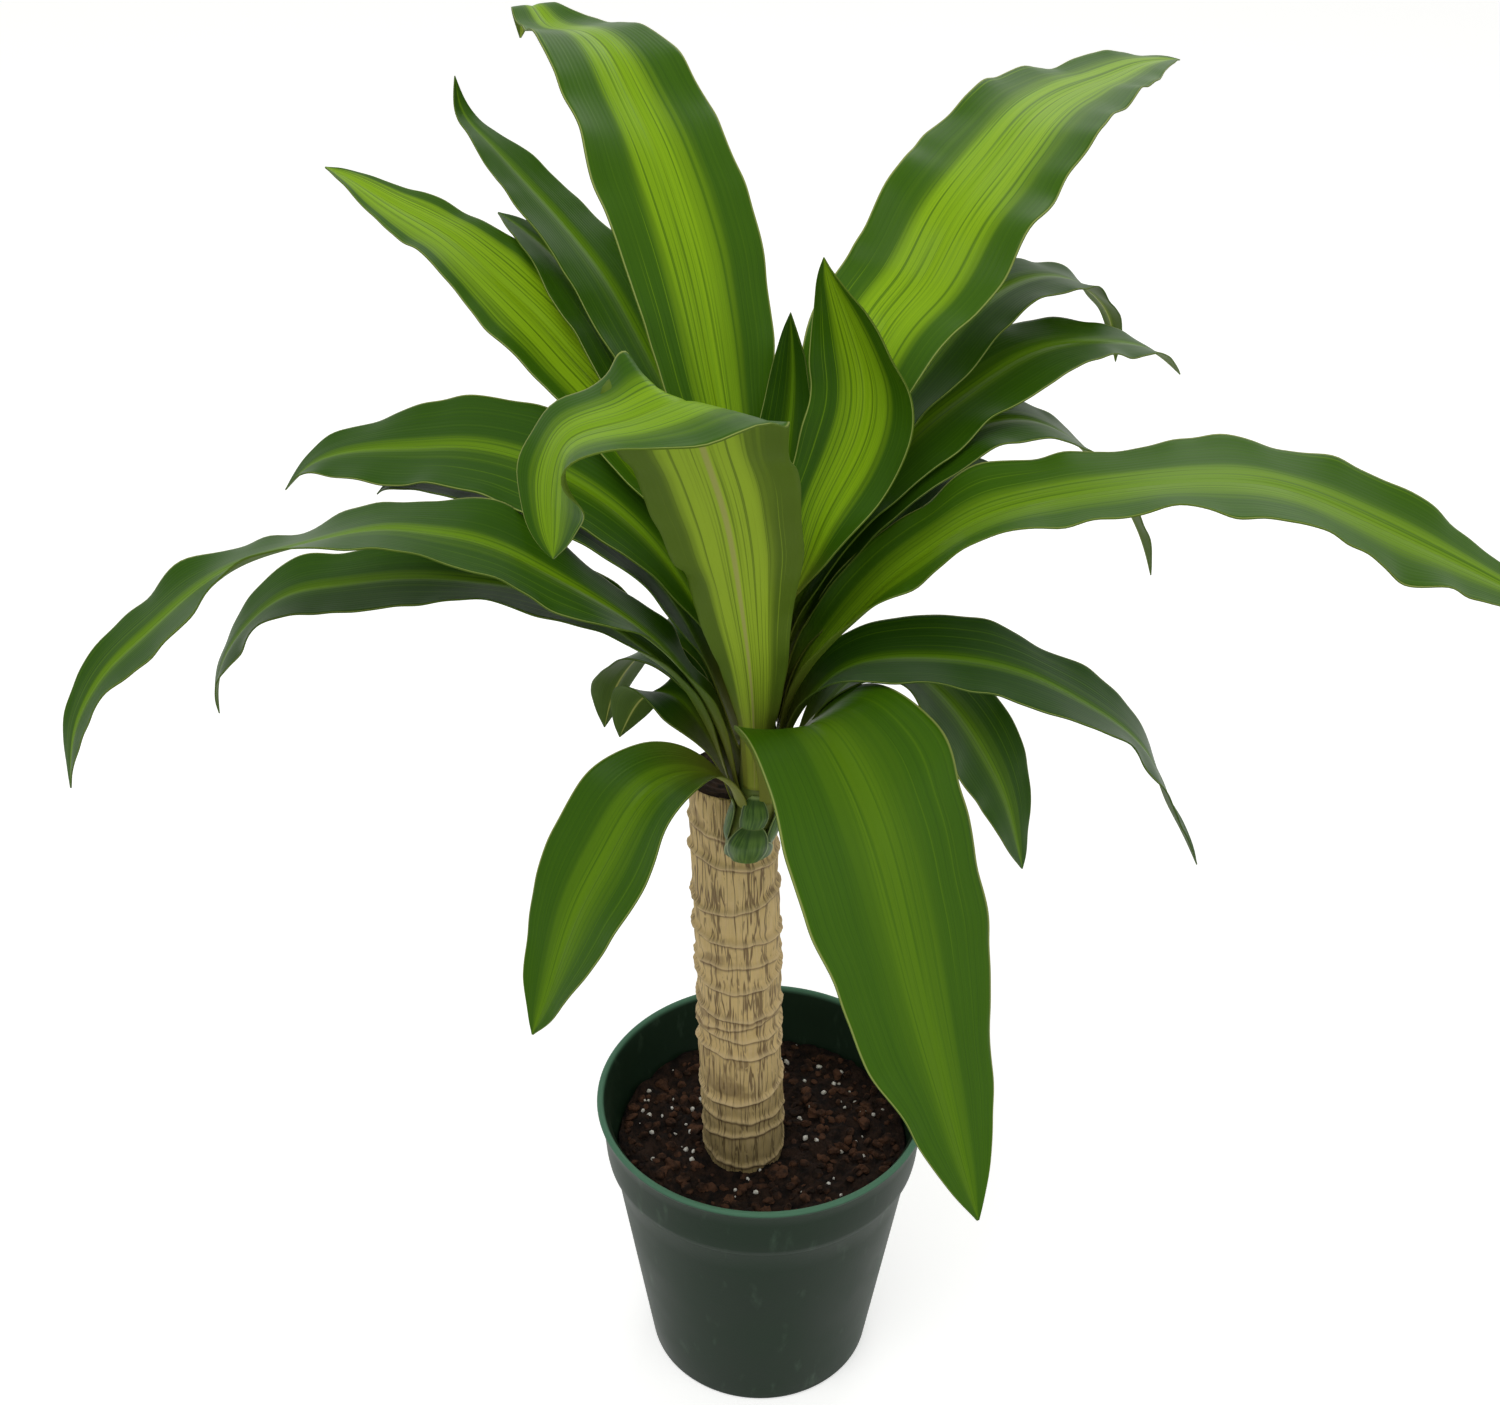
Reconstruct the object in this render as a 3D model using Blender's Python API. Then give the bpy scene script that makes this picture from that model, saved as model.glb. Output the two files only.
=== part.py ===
# A corn plant in its nursery pot: pot, potting mix, cane, shoot, bud scales and leaves.
# Metres, +Z up. The origin is the centre of the pot's flat base; the plant's front faces -Y.
import math

import bmesh
import bpy
import numpy as np
from mathutils import Vector

MM = 0.001
GAP = 0.3 * MM               # clearance kept between pieces that touch

# pot: a thin moulded shell with a deep rim band
POT_HEIGHT = 150 * MM
RIM_RADIUS = 76.2 * MM       # a six inch pot, over the lip
BAND_HEIGHT = 30 * MM        # the rim band, from the lip down
BAND_RADIUS = 72.0 * MM      # outside of the band's lower edge
STEP_RADIUS = 69.5 * MM      # outside of the wall just under the band
BASE_RADIUS = 53 * MM
WALL = 1.8 * MM
FLOOR = 2.5 * MM
LIP = 3.0 * MM               # depth and reach of the rounded lip
POT_SIDES = 48
DRAIN_COUNT = 8
DRAIN_RADIUS = 5 * MM
DRAIN_CIRCLE = 41 * MM

# potting mix
MIX_TOP = 123 * MM

# cane: a bare ringed stem that leans a little to the left
CANE_RADIUS = 18.4 * MM
CANE_FOOT = Vector((-6 * MM, -5 * MM, 30 * MM))
CANE_TOP = Vector((-14.5 * MM, -5 * MM, 331 * MM))
CUT_THICKNESS = 2.5 * MM     # the dark dried face on top of the cane
RING_HEIGHTS = (128, 142, 153, 166, 190, 203, 213, 232, 241, 256, 274, 295)
RING_RISE = 0.7 * MM
RING_HALF_WIDTH = 2 * MM
CANE_SIDES = 20

# shoot: the green stem that carries every leaf. Its points are in mm from the crown.
CROWN = Vector((-4 * MM, -38 * MM, 340 * MM))
SHOOT_AXIS = ((-4, 16, -34), (-4, 8, -26), (-3, 2, -14), (0, 0, 0), (0, 0, 30), (0, 0, 60), (0, 0, 84))
SHOOT_RADII = (8, 9, 9, 8.5, 7, 5, 3)
SHOOT_SIDES = 16

# bud scales: small shells round the foot of the shoot, in three layers.
# heading and half_span in degrees, the rest in mm: low and high from the crown,
# clear = distance from the shoot's skin, flare = how far the upper edge stands off
SCALE_THICKNESS = 0.8 * MM
SCALES = {
    "bud_upper_scale": dict(heading=-98, half_span=34, low=-10, high=9, clear=0.4, flare=1.5),
    "bud_right_scale": dict(heading=-32, half_span=26, low=-18, high=3, clear=0.4, flare=2.5),
    "bud_left_scale": dict(heading=-168, half_span=22, low=-16, high=3, clear=0.4, flare=2),
    "bud_collar_scale": dict(heading=-90, half_span=72, low=-32, high=-3, clear=1.6, flare=3.5),
    "bud_shield_scale": dict(heading=-95, half_span=46, low=-27, high=-6, clear=2.8, flare=4.5),
}

# leaves. heading: the way the leaf goes, degrees from +X towards +Y. foot: the height on the
# shoot where it starts, mm. reach, rise and swing: the next points of its midrib in mm from
# the crown, outwards, upwards and to the left of its heading. turn, roll and fold: degrees
# from base to tip at even spaces, how far it turns sideways, tilts about its midrib, and
# closes into a channel. width in mm, and widest is the place of the broadest part, from 0 at
# the base to 1 at the tip.
LEAF_THICKNESS = 0.7 * MM
LEAF_STATIONS = 14
LEAF_ACROSS = 3
FOOT_CLEAR = 0.9             # mm from the shoot's skin to the middle of a leaf's foot
FOOT_HALF_WIDTH = 2.2        # mm
CLASP_LENGTH = 60            # mm over which a leaf leaves the shoot and opens into its blade
LEAVES = {
    "leaf_front_right": dict(
        heading=-57, foot=5, reach=(12, 22, 40, 60, 73, 83, 100, 124, 145, 151),
        rise=(22, 41, 58, 52, 41, 28, -4, -50, -87, -97), roll=(0, 0, 0), fold=(40, 5, 0, 5), width=78,
        widest=0.38),
    "leaf_front_left": dict(
        heading=216, foot=2, reach=(12, 20, 33, 51, 69, 84, 99, 107),
        rise=(10, 20, 27, 26, 6, -16, -50, -66), roll=(0, -10, -10), fold=(50, 15, 10, 10), width=50,
        widest=0.48),
    "leaf_front_folded": dict(
        heading=-100, foot=12, reach=(16, 29, 43, 55, 67, 77, 83, 87, 90, 92, 92, 90, 88),
        rise=(60, 106, 147, 174, 195, 204, 203, 200, 198, 194, 182, 168, 150),
        swing=(0, -2, -5, -9, -11, -12, -19, -28, -37, -45, -50, -52, -53),
        turn=(0, 0, 0, 0, 0, 0, 0, 0, 0, -45, -65, -35, -5), roll=(0, 0, 0, 0, 0, 0),
        fold=(50, 15, 5, 0, 5, 10), width=60, widest=0.68),
    "leaf_left_lower": dict(
        heading=174, foot=3, reach=(15, 30, 44, 61, 80, 106, 134, 162, 180, 197, 210, 215, 216),
        rise=(20, 53, 67, 79, 88, 92, 92, 87, 82, 69, 51, 36, 25), roll=(0, 0, -5, -15, -20),
        fold=(60, 25, 10, 5, 5), width=42),
    "leaf_left_long": dict(
        heading=186, foot=8,
        reach=(17, 36, 57, 78, 92, 106, 119, 135, 156, 176, 192, 208, 224, 239, 252, 257, 261),
        rise=(38, 72, 92, 107, 116, 122, 125, 127, 124, 119, 113, 102, 88, 74, 55, 42, 23),
        roll=(0, 2, -12, 18, -20, -30), fold=(70, 12, 5, 5, 5, 10), width=46),
    "leaf_low_back": dict(
        heading=158, foot=-2, reach=(16, 26, 36, 46, 54, 60), rise=(14, 32, 41, 40, 30, 16),
        turn=(0, -15, -45, -60), fold=(50, 15, 10), width=28, widest=0.55),
    "leaf_low_back_left": dict(
        heading=140, foot=4, reach=(14, 26, 37, 50, 64, 77, 84), rise=(26, 44, 54, 54, 42, 22, 0),
        turn=(0, 0, -25, -50), roll=(0, -20, -15), fold=(50, 15, 10), width=34),
    "leaf_left_middle": dict(
        heading=162, foot=27, reach=(17, 33, 52, 75, 105, 130, 148, 156),
        rise=(50, 82, 103, 117, 121, 119, 116, 110), roll=(0, 0, -8), fold=(50, 15, 5, 5), width=37),
    "leaf_left_upper": dict(
        heading=158, foot=36, reach=(16, 32, 55, 89, 119, 140, 166, 190, 206),
        rise=(63, 92, 115, 130, 132, 128, 122, 112, 97), roll=(0, -10, -25, -20), fold=(50, 15, 5, 5),
        width=50),
    "leaf_light_left": dict(
        heading=136, foot=43, reach=(16, 27, 43, 77, 98, 120, 143, 173, 205, 238, 254),
        rise=(74, 97, 117, 146, 157, 168, 177, 187, 191, 196, 197), roll=(0, -10, -10, -10),
        fold=(50, 10, 5, 5), width=42),
    "leaf_narrow_left": dict(
        heading=126, foot=55, reach=(10, 23, 44, 75, 101, 120, 142, 164, 191, 210, 213),
        rise=(78, 104, 136, 165, 184, 193, 201, 208, 216, 224, 236), fold=(50, 10, 5, 5), width=32),
    "leaf_short_left": dict(
        heading=128, foot=48, reach=(12, 25, 43, 73, 98, 122, 149, 173),
        rise=(76, 102, 125, 154, 171, 182, 189, 192), fold=(50, 10, 5, 5), width=38),
    "leaf_tall_left": dict(
        heading=117, foot=66, reach=(6, 13, 26, 40, 50, 60, 73, 89, 110, 130, 158, 192, 207, 223),
        rise=(76, 96, 134, 168, 190, 206, 221, 236, 249, 260, 262, 258, 261, 245), roll=(0, 0, 0, 0),
        fold=(50, 10, 5, 5), width=57),
    "leaf_right_low": dict(
        heading=0, foot=11, reach=(13, 30, 45, 64, 83, 103, 123, 140, 152, 160, 168, 177),
        rise=(36, 61, 67, 68, 66, 60, 49, 37, 23, 5, -10, -28), roll=(0, 10, 0, 0),
        fold=(50, 10, 5, 5), width=46),
    "leaf_right_drooping": dict(
        heading=10, foot=2, reach=(17, 26, 38, 54, 68, 80, 92, 102, 108, 112),
        rise=(22, 42, 55, 58, 48, 33, 13, -9, -30, -46), turn=(0, -20, -55, -60), roll=(0, 0, 0, 0),
        fold=(50, 10, 5, 5), width=40),
    "leaf_right_long": dict(
        heading=3, foot=27, reach=(14, 32, 47, 62, 80, 107, 133, 160, 188, 218, 249, 275, 304),
        rise=(52, 81, 99, 112, 124, 132, 136, 138, 135, 123, 108, 95, 80),
        roll=(0, 14, -2, -2, 18, 18), fold=(60, 20, 5, 5, 5), width=66, widest=0.58),
    "leaf_right_dark": dict(
        heading=34, foot=37, reach=(15, 33, 58, 79, 97, 115, 126),
        rise=(60, 83, 107, 119, 119, 111, 96), roll=(0, 10, 10), fold=(50, 10, 5, 5), width=28),
    "leaf_back_right_lower": dict(
        heading=36, foot=41, reach=(15, 41, 72, 98, 126, 154, 175, 196, 207, 212),
        rise=(68, 105, 128, 135, 132, 116, 95, 68, 48, 36), roll=(0, 10, 10, 20), fold=(50, 10, 5, 5),
        width=36),
    "leaf_back_right_middle": dict(
        heading=42, foot=47, reach=(13, 44, 79, 107, 137, 166, 197, 221, 244),
        rise=(72, 113, 136, 145, 151, 149, 141, 131, 114), roll=(0, 10, 10, 10), fold=(50, 10, 5, 5),
        width=42),
    "leaf_back_right_upper": dict(
        heading=48, foot=53, reach=(11, 46, 85, 122, 152, 183, 210, 223, 231),
        rise=(76, 124, 151, 170, 174, 167, 151, 137, 116), roll=(0, 0, 10, 10), fold=(50, 10, 5, 5),
        width=36),
    "leaf_tall_right": dict(
        heading=54, foot=62, reach=(7, 15, 31, 50, 68, 87, 100, 115, 141, 166, 199, 238, 272, 311),
        rise=(74, 92, 122, 154, 180, 191, 204, 214, 224, 232, 235, 233, 231, 225),
        swing=(0, 0, -1, -3, -6, -8, -9, -9, -8, -6, -4, -2, 0, 0), roll=(0, 10, 5, 5),
        fold=(60, 10, 5, 5), width=62),
    "leaf_inner_back": dict(
        heading=70, foot=68, reach=(5, 12, 20, 28, 31, 27), rise=(80, 94, 122, 149, 168, 194),
        fold=(60, 35, 15), width=25),
    "leaf_inner_right": dict(
        heading=12, foot=70, reach=(7, 13, 22, 32, 37, 37, 31, 20),
        rise=(84, 96, 123, 145, 161, 176, 196, 222), turn=(20, 50, 60, 50, 40),
        fold=(60, 40, 25, 20, 20), width=43, widest=0.6),
}

# outline of every blade: half width at places along it, as a share of the full half width
BLADE_PLACES = (0, 0.08, 0.2, 0.35, 0.5, 0.65, 0.8, 0.9, 0.96, 1)
BLADE_SHARES = (0.16, 0.2, 0.38, 0.78, 0.98, 0.96, 0.72, 0.44, 0.22, 0.03)
BROADEST = 0.55              # where that outline is broadest
HINGE = 0.35                 # share of the fold that is made at the midrib

COLOURS = {                  # colour, roughness
    "pot": ((0.03, 0.07, 0.045), 0.45),
    "mix": ((0.02, 0.012, 0.008), 0.95),
    "bark": ((0.5, 0.33, 0.16), 0.8),
    "cut": ((0.03, 0.018, 0.012), 0.85),
    "shoot": ((0.12, 0.17, 0.04), 0.5),
    "scale": ((0.1, 0.22, 0.05), 0.5),
    "leaf": ((0.04, 0.14, 0.01), 0.35),
}


def clear_scene():
    for thing in list(bpy.data.objects):
        bpy.data.objects.remove(thing, do_unlink=True)


def material(name):
    """A plain finish of one colour."""
    found = bpy.data.materials.get(name)
    if found:
        return found
    colour, roughness = COLOURS[name]
    made = bpy.data.materials.new(name)
    made.use_nodes = True
    shader = made.node_tree.nodes["Principled BSDF"]
    shader.inputs["Base Color"].default_value = (*colour, 1)
    shader.inputs["Roughness"].default_value = roughness
    shader.inputs["Metallic"].default_value = 0
    return made


def piece(name, points, faces, finish):
    """One named object from points and faces, with its faces turned outwards."""
    mesh = bpy.data.meshes.new(name)
    mesh.from_pydata([tuple(map(float, p)) for p in points], [], faces)
    shape = bmesh.new()
    shape.from_mesh(mesh)
    bmesh.ops.recalc_face_normals(shape, faces=shape.faces)
    shape.to_mesh(mesh)
    shape.free()
    mesh.materials.append(material(finish))
    mesh.shade_smooth()
    mesh.set_sharp_from_angle(angle=math.radians(40))
    made = bpy.data.objects.new(name, mesh)
    bpy.context.collection.objects.link(made)
    return made


def ring_faces(rings, sides):
    """Quads between rings of points, and a flat cap on each end ring."""
    faces = []
    for ring in range(rings - 1):
        for side in range(sides):
            after = (side + 1) % sides
            faces.append((ring * sides + side, ring * sides + after,
                          (ring + 1) * sides + after, (ring + 1) * sides + side))
    faces.append(tuple(range(sides))[::-1])
    faces.append(tuple((rings - 1) * sides + side for side in range(sides)))
    return faces


def turned(name, profile, sides, finish):
    """A solid turned about the Z axis. The profile starts and ends on the axis."""
    angles = [2 * math.pi * side / sides for side in range(sides)]
    points = [(0, 0, profile[0][1]), (0, 0, profile[-1][1])]
    for radius, height in profile[1:-1]:
        points += [(radius * math.cos(a), radius * math.sin(a), height) for a in angles]
    faces = []
    rings = len(profile) - 2
    for side in range(sides):
        after = (side + 1) % sides
        faces.append((0, 2 + after, 2 + side))
        last = 2 + (rings - 1) * sides
        faces.append((1, last + side, last + after))
        for ring in range(rings - 1):
            low = 2 + ring * sides
            high = low + sides
            faces.append((low + side, low + after, high + after, high + side))
    return piece(name, points, faces, finish)


def along(name, centres, radii, sides, finish):
    """A round solid carried along a path, with level rings."""
    points = []
    for centre, radius in zip(centres, radii):
        for side in range(sides):
            a = 2 * math.pi * side / sides
            points.append(centre + radius * Vector((math.cos(a), math.sin(a), 0)))
    return piece(name, points, ring_faces(len(radii), sides), finish)


def cut(solid, cutter):
    """Take the cutter's shape out of the solid."""
    cutter.hide_render = True
    cutter.display_type = "WIRE"
    work = solid.modifiers.new("cut", "BOOLEAN")
    work.operation = "DIFFERENCE"
    work.solver = "EXACT"
    work.object = cutter


def nursery_pot():
    """Outer skin from the base up and over the lip, then the inner skin down to the floor."""
    band_low = POT_HEIGHT - BAND_HEIGHT
    foot = 2 * MM
    profile = [(0, 0), (BASE_RADIUS - foot, 0), (BASE_RADIUS, foot),
               (STEP_RADIUS, band_low - WALL), (BAND_RADIUS, band_low),
               (RIM_RADIUS - LIP / 2, POT_HEIGHT - LIP), (RIM_RADIUS, POT_HEIGHT - LIP * 0.7),
               (RIM_RADIUS, POT_HEIGHT - LIP * 0.3), (RIM_RADIUS - LIP / 2, POT_HEIGHT),
               (RIM_RADIUS - LIP * 0.9, POT_HEIGHT - LIP * 0.2),
               (BAND_RADIUS - WALL, band_low + WALL), (STEP_RADIUS - WALL, band_low),
               (BASE_RADIUS - WALL, FLOOR), (0, FLOOR)]
    pot = turned("nursery_pot", profile, POT_SIDES, "pot")
    for number in range(DRAIN_COUNT):
        a = 2 * math.pi * (number + 0.5) / DRAIN_COUNT
        bpy.ops.mesh.primitive_cylinder_add(
            vertices=12, radius=DRAIN_RADIUS, depth=4 * FLOOR,
            location=(DRAIN_CIRCLE * math.cos(a), DRAIN_CIRCLE * math.sin(a), FLOOR / 2))
        drill = bpy.context.object
        drill.name = f"drain_cutter_{number}"
        cut(pot, drill)
    return pot


def wall_inside(height):
    """Inner radius of the pot's wall below the band."""
    share = (height - FLOOR) / (POT_HEIGHT - BAND_HEIGHT - FLOOR)
    return BASE_RADIUS - WALL + share * (STEP_RADIUS - BASE_RADIUS)


def cane_centre(height):
    share = (height - CANE_FOOT.z) / (CANE_TOP.z - CANE_FOOT.z)
    return CANE_FOOT.lerp(CANE_TOP, share)


def potting_mix():
    """The mix fills the pot, with a socket for the buried cane."""
    low = FLOOR + GAP
    band_low = POT_HEIGHT - BAND_HEIGHT
    inset = 2 * GAP
    profile = [(0, low), (wall_inside(low) - inset, low),
               (wall_inside(band_low) - inset, band_low), (wall_inside(MIX_TOP) - inset, MIX_TOP),
               (0, MIX_TOP)]
    mix = turned("potting_mix", profile, POT_SIDES, "mix")
    heights = (CANE_FOOT.z - GAP, MIX_TOP + 10 * MM)
    socket = along("cane_socket_cutter", [cane_centre(h) for h in heights],
                   [CANE_RADIUS + RING_RISE + GAP] * 2, CANE_SIDES, "mix")
    cut(mix, socket)
    return mix


def cane():
    """A leaning round stem with a low ridge at each leaf scar, and its dark cut face on top."""
    stations = [(CANE_FOOT.z, CANE_RADIUS)]
    for ring in RING_HEIGHTS:
        height = ring * MM
        stations += [(height - RING_HALF_WIDTH, CANE_RADIUS), (height, CANE_RADIUS + RING_RISE),
                     (height + RING_HALF_WIDTH, CANE_RADIUS)]
    stations.append((CANE_TOP.z, CANE_RADIUS + RING_RISE / 2))
    stem = along("cane", [cane_centre(h) for h, _ in stations], [r for _, r in stations],
                 CANE_SIDES, "bark")
    low = CANE_TOP.z + GAP
    heights = (low, low + CUT_THICKNESS * 0.6, low + CUT_THICKNESS)
    radii = (CANE_RADIUS, CANE_RADIUS - 0.5 * MM, CANE_RADIUS - 3 * MM)
    along("cane_cut_top", [cane_centre(h) for h in heights], radii, CANE_SIDES, "cut")
    return stem


def shoot_at(height):
    """Centre and radius of the shoot at a height in mm from the crown."""
    heights = [p[2] for p in SHOOT_AXIS]
    centre = Vector([float(np.interp(height, heights, [p[k] for p in SHOOT_AXIS])) for k in range(2)]
                    + [height])
    return centre, float(np.interp(height, heights, SHOOT_RADII))


def shoot():
    """The tapering stem of the shoot, its foot cut to sit on the cane's side."""
    stem = along("shoot", [CROWN + Vector(p) * MM for p in SHOOT_AXIS], [r * MM for r in SHOOT_RADII],
                 SHOOT_SIDES, "shoot")
    heights = (CROWN.z - 60 * MM, CANE_TOP.z + CUT_THICKNESS + 2 * GAP)
    cutter = along("cane_side_cutter", [cane_centre(h) for h in heights],
                   [CANE_RADIUS + RING_RISE + GAP] * 2, CANE_SIDES, "bark")
    cut(stem, cutter)
    return stem


def shell(name, inner, outer, finish):
    """A thin closed solid between two grids of points of the same size."""
    rows, columns = inner.shape[:2]
    count = rows * columns
    faces = []
    for row in range(rows - 1):
        for column in range(columns - 1):
            a = row * columns + column
            b = a + 1
            c = a + columns + 1
            d = a + columns
            faces += [(a, b, c, d), (count + a, count + d, count + c, count + b)]
    border = ([row * columns for row in range(rows)]
              + [(rows - 1) * columns + column for column in range(1, columns)]
              + [row * columns + columns - 1 for row in range(rows - 2, -1, -1)]
              + [column for column in range(columns - 2, 0, -1)])
    for a, b in zip(border, border[1:] + border[:1]):
        faces.append((a, b, count + b, count + a))
    points = np.concatenate([inner.reshape(-1, 3), outer.reshape(-1, 3)])
    return piece(name, points, faces, finish)


def bud_scale(name, heading, half_span, low, high, clear, flare):
    """A pointed shell that follows the shoot's skin and stands off towards its tip."""
    up = np.linspace(0, 1, 7)
    side = np.linspace(-1, 1, 7)
    span = np.radians(half_span) * np.sqrt(1 - (0.97 * up) ** 2)
    inner = np.zeros((len(up), len(side), 3))
    outer = inner.copy()
    for row, share in enumerate(up):
        centre, radius = shoot_at(low + share * (high - low))
        angle = np.radians(heading) + side * span[row]
        for grid, extra in ((inner, 0), (outer, SCALE_THICKNESS / MM)):
            r = radius + clear + flare * share ** 2 + extra
            grid[row, :, 0] = centre.x + r * np.cos(angle)
            grid[row, :, 1] = centre.y + r * np.sin(angle)
            grid[row, :, 2] = centre.z
    made = shell(name, np.array(CROWN) + inner * MM, np.array(CROWN) + outer * MM, "scale")
    return made


def smooth_path(points, count):
    """A natural cubic spline through the points, read at even lengths."""
    points = np.asarray(points, float)
    spans = np.linalg.norm(np.diff(points, axis=0), axis=1) ** 0.7
    knots = np.concatenate([[0], np.cumsum(spans)])
    total = len(points)
    inside = np.arange(1, total - 1)
    left = np.zeros((total, total))
    right = np.zeros_like(points)
    left[0, 0] = left[-1, -1] = 1
    left[inside, inside - 1] = spans[:-1]
    left[inside, inside] = 2 * (spans[:-1] + spans[1:])
    left[inside, inside + 1] = spans[1:]
    slopes = np.diff(points, axis=0) / spans[:, None]
    right[1:-1] = 6 * np.diff(slopes, axis=0)
    bend = np.linalg.solve(left, right)
    fine = np.linspace(0, knots[-1], 40 * total)
    k = np.clip(np.searchsorted(knots, fine, side="right") - 1, 0, total - 2)
    span = spans[k][:, None]
    after = (fine - knots[k])[:, None]
    before = span - after
    path = ((bend[k] * before ** 3 + bend[k + 1] * after ** 3) / (6 * span)
            + (points[k] / span - bend[k] * span / 6) * before
            + (points[k + 1] / span - bend[k + 1] * span / 6) * after)
    length = np.concatenate([[0], np.cumsum(np.linalg.norm(np.diff(path, axis=0), axis=1))])
    places = np.linspace(0, length[-1], count)
    return np.stack([np.interp(places, length, path[:, k]) for k in range(3)], axis=1)


def eased(values, places):
    """Values given at even spaces from base to tip, joined by a smooth curve."""
    values = np.asarray(values, float)
    last = len(values) - 1
    if last == 0:
        return np.full_like(places, values[0])
    k = np.clip((places * last).astype(int), 0, last - 1)
    f = places * last - k
    a, b, c, d = (values[np.clip(k + shift, 0, last)] for shift in (-1, 0, 1, 2))
    return 0.5 * (2 * b + (c - a) * f + (2 * a - 5 * b + 4 * c - d) * f ** 2
                  + (3 * b - a - 3 * c + d) * f ** 3)


def blade_share(places, widest):
    """The blade's outline, with its broadest place moved to widest."""
    q = np.where(places < widest, places / widest * BROADEST,
                 BROADEST + (places - widest) / (1 - widest) * (1 - BROADEST))
    at, share = np.array(BLADE_PLACES), np.array(BLADE_SHARES)
    k = np.clip(np.searchsorted(at, q, side="right") - 1, 0, len(at) - 2)
    slope = np.gradient(share, at)
    h = at[k + 1] - at[k]
    f = (q - at[k]) / h
    return ((2 * f ** 3 - 3 * f ** 2 + 1) * share[k] + (f ** 3 - 2 * f ** 2 + f) * h * slope[k]
            + (3 * f ** 2 - 2 * f ** 3) * share[k + 1] + (f ** 3 - f ** 2) * h * slope[k + 1])


def leaf(name, heading, foot, reach, rise, width, swing=None, turn=(0,), roll=(0,), fold=(60, 20, 10),
         widest=0.5):
    """A strap of even thickness: a midrib path with a folded cross-section at each station."""
    heading = np.radians(heading)
    out = np.array([np.cos(heading), np.sin(heading), 0])
    left = np.array([-np.sin(heading), np.cos(heading), 0])
    reach = [shoot_at(foot)[1] + FOOT_CLEAR, *reach]
    swing = [0, *swing] if swing else [0] * len(reach)
    midrib = smooth_path(np.outer(reach, out) + np.outer(swing, left)
                         + np.outer([foot, *rise], (0, 0, 1)), LEAF_STATIONS)
    places = np.linspace(0, 1, LEAF_STATIONS)
    step = np.linalg.norm(np.diff(midrib, axis=0), axis=1)
    travel = np.concatenate([[0], np.cumsum(step)])
    forward = np.gradient(midrib, axis=0)
    forward /= np.linalg.norm(forward, axis=1, keepdims=True)
    turned_by = heading + np.radians(eased(turn, places))
    side = np.stack([-np.sin(turned_by), np.cos(turned_by), np.zeros(LEAF_STATIONS)], axis=1)
    side -= np.sum(side * forward, axis=1, keepdims=True) * forward
    side /= np.linalg.norm(side, axis=1, keepdims=True)
    upper = np.cross(forward, side)
    tilt = np.radians(eased(roll, places))[:, None]
    side, upper = (side * np.cos(tilt) + upper * np.sin(tilt),
                   upper * np.cos(tilt) - side * np.sin(tilt))
    # clasp is 1 at the foot, where the leaf hugs the shoot, and 0 where the free blade begins
    along_clasp = np.clip(travel / CLASP_LENGTH, 0, 1)
    clasp = (1 - along_clasp ** 2 * (3 - 2 * along_clasp))[:, None]
    half = (width / 2 * blade_share(places, widest))[:, None] * (1 - clasp) + FOOT_HALF_WIDTH * clasp
    across = np.linspace(-1, 1, LEAF_ACROSS)
    close = np.radians(eased(fold, places))[:, None] * (HINGE + (1 - HINGE) * np.abs(across))
    offset = half * across
    blade = (midrib[:, None] + (offset * np.cos(close))[..., None] * side[:, None]
             + (np.abs(offset) * np.sin(close))[..., None] * upper[:, None])
    radius = np.hypot(midrib[:, 0], midrib[:, 1])[:, None]
    angle = np.arctan2(midrib[:, 1], midrib[:, 0])[:, None] + offset / radius
    hug = np.stack([radius * np.cos(angle), radius * np.sin(angle),
                    np.broadcast_to(midrib[:, 2:], angle.shape)], axis=2)
    middle = blade * (1 - clasp)[..., None] + hug * clasp[..., None]
    normal = np.cross(np.gradient(middle, axis=0), np.gradient(middle, axis=1))
    normal /= np.linalg.norm(normal, axis=2, keepdims=True)
    skin = normal * LEAF_THICKNESS / 2
    middle = np.array(CROWN) + middle * MM
    return shell(name, middle - skin, middle + skin, "leaf")


clear_scene()
nursery_pot()
potting_mix()
cane()
shoot()
for scale_name, values in SCALES.items():
    bud_scale(scale_name, **values)
for leaf_name, values in LEAVES.items():
    leaf(leaf_name, **values)
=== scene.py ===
# A corn plant on a bare cane in a green nursery pot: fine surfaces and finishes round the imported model.
import math
import bpy
from mathutils import Matrix
import numpy as np


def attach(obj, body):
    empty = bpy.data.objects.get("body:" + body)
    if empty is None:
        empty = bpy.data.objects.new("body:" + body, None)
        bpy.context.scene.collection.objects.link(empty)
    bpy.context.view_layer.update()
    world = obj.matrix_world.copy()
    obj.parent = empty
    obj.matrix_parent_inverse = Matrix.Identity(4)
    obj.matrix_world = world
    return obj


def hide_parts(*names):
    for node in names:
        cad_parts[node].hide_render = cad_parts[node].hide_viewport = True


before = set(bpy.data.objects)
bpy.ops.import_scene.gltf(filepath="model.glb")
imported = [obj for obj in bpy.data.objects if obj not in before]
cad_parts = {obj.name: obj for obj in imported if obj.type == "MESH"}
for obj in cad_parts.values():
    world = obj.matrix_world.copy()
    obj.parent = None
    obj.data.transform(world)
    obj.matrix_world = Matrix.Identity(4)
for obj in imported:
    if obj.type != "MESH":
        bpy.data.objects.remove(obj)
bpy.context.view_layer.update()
mm = 0.001


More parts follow.
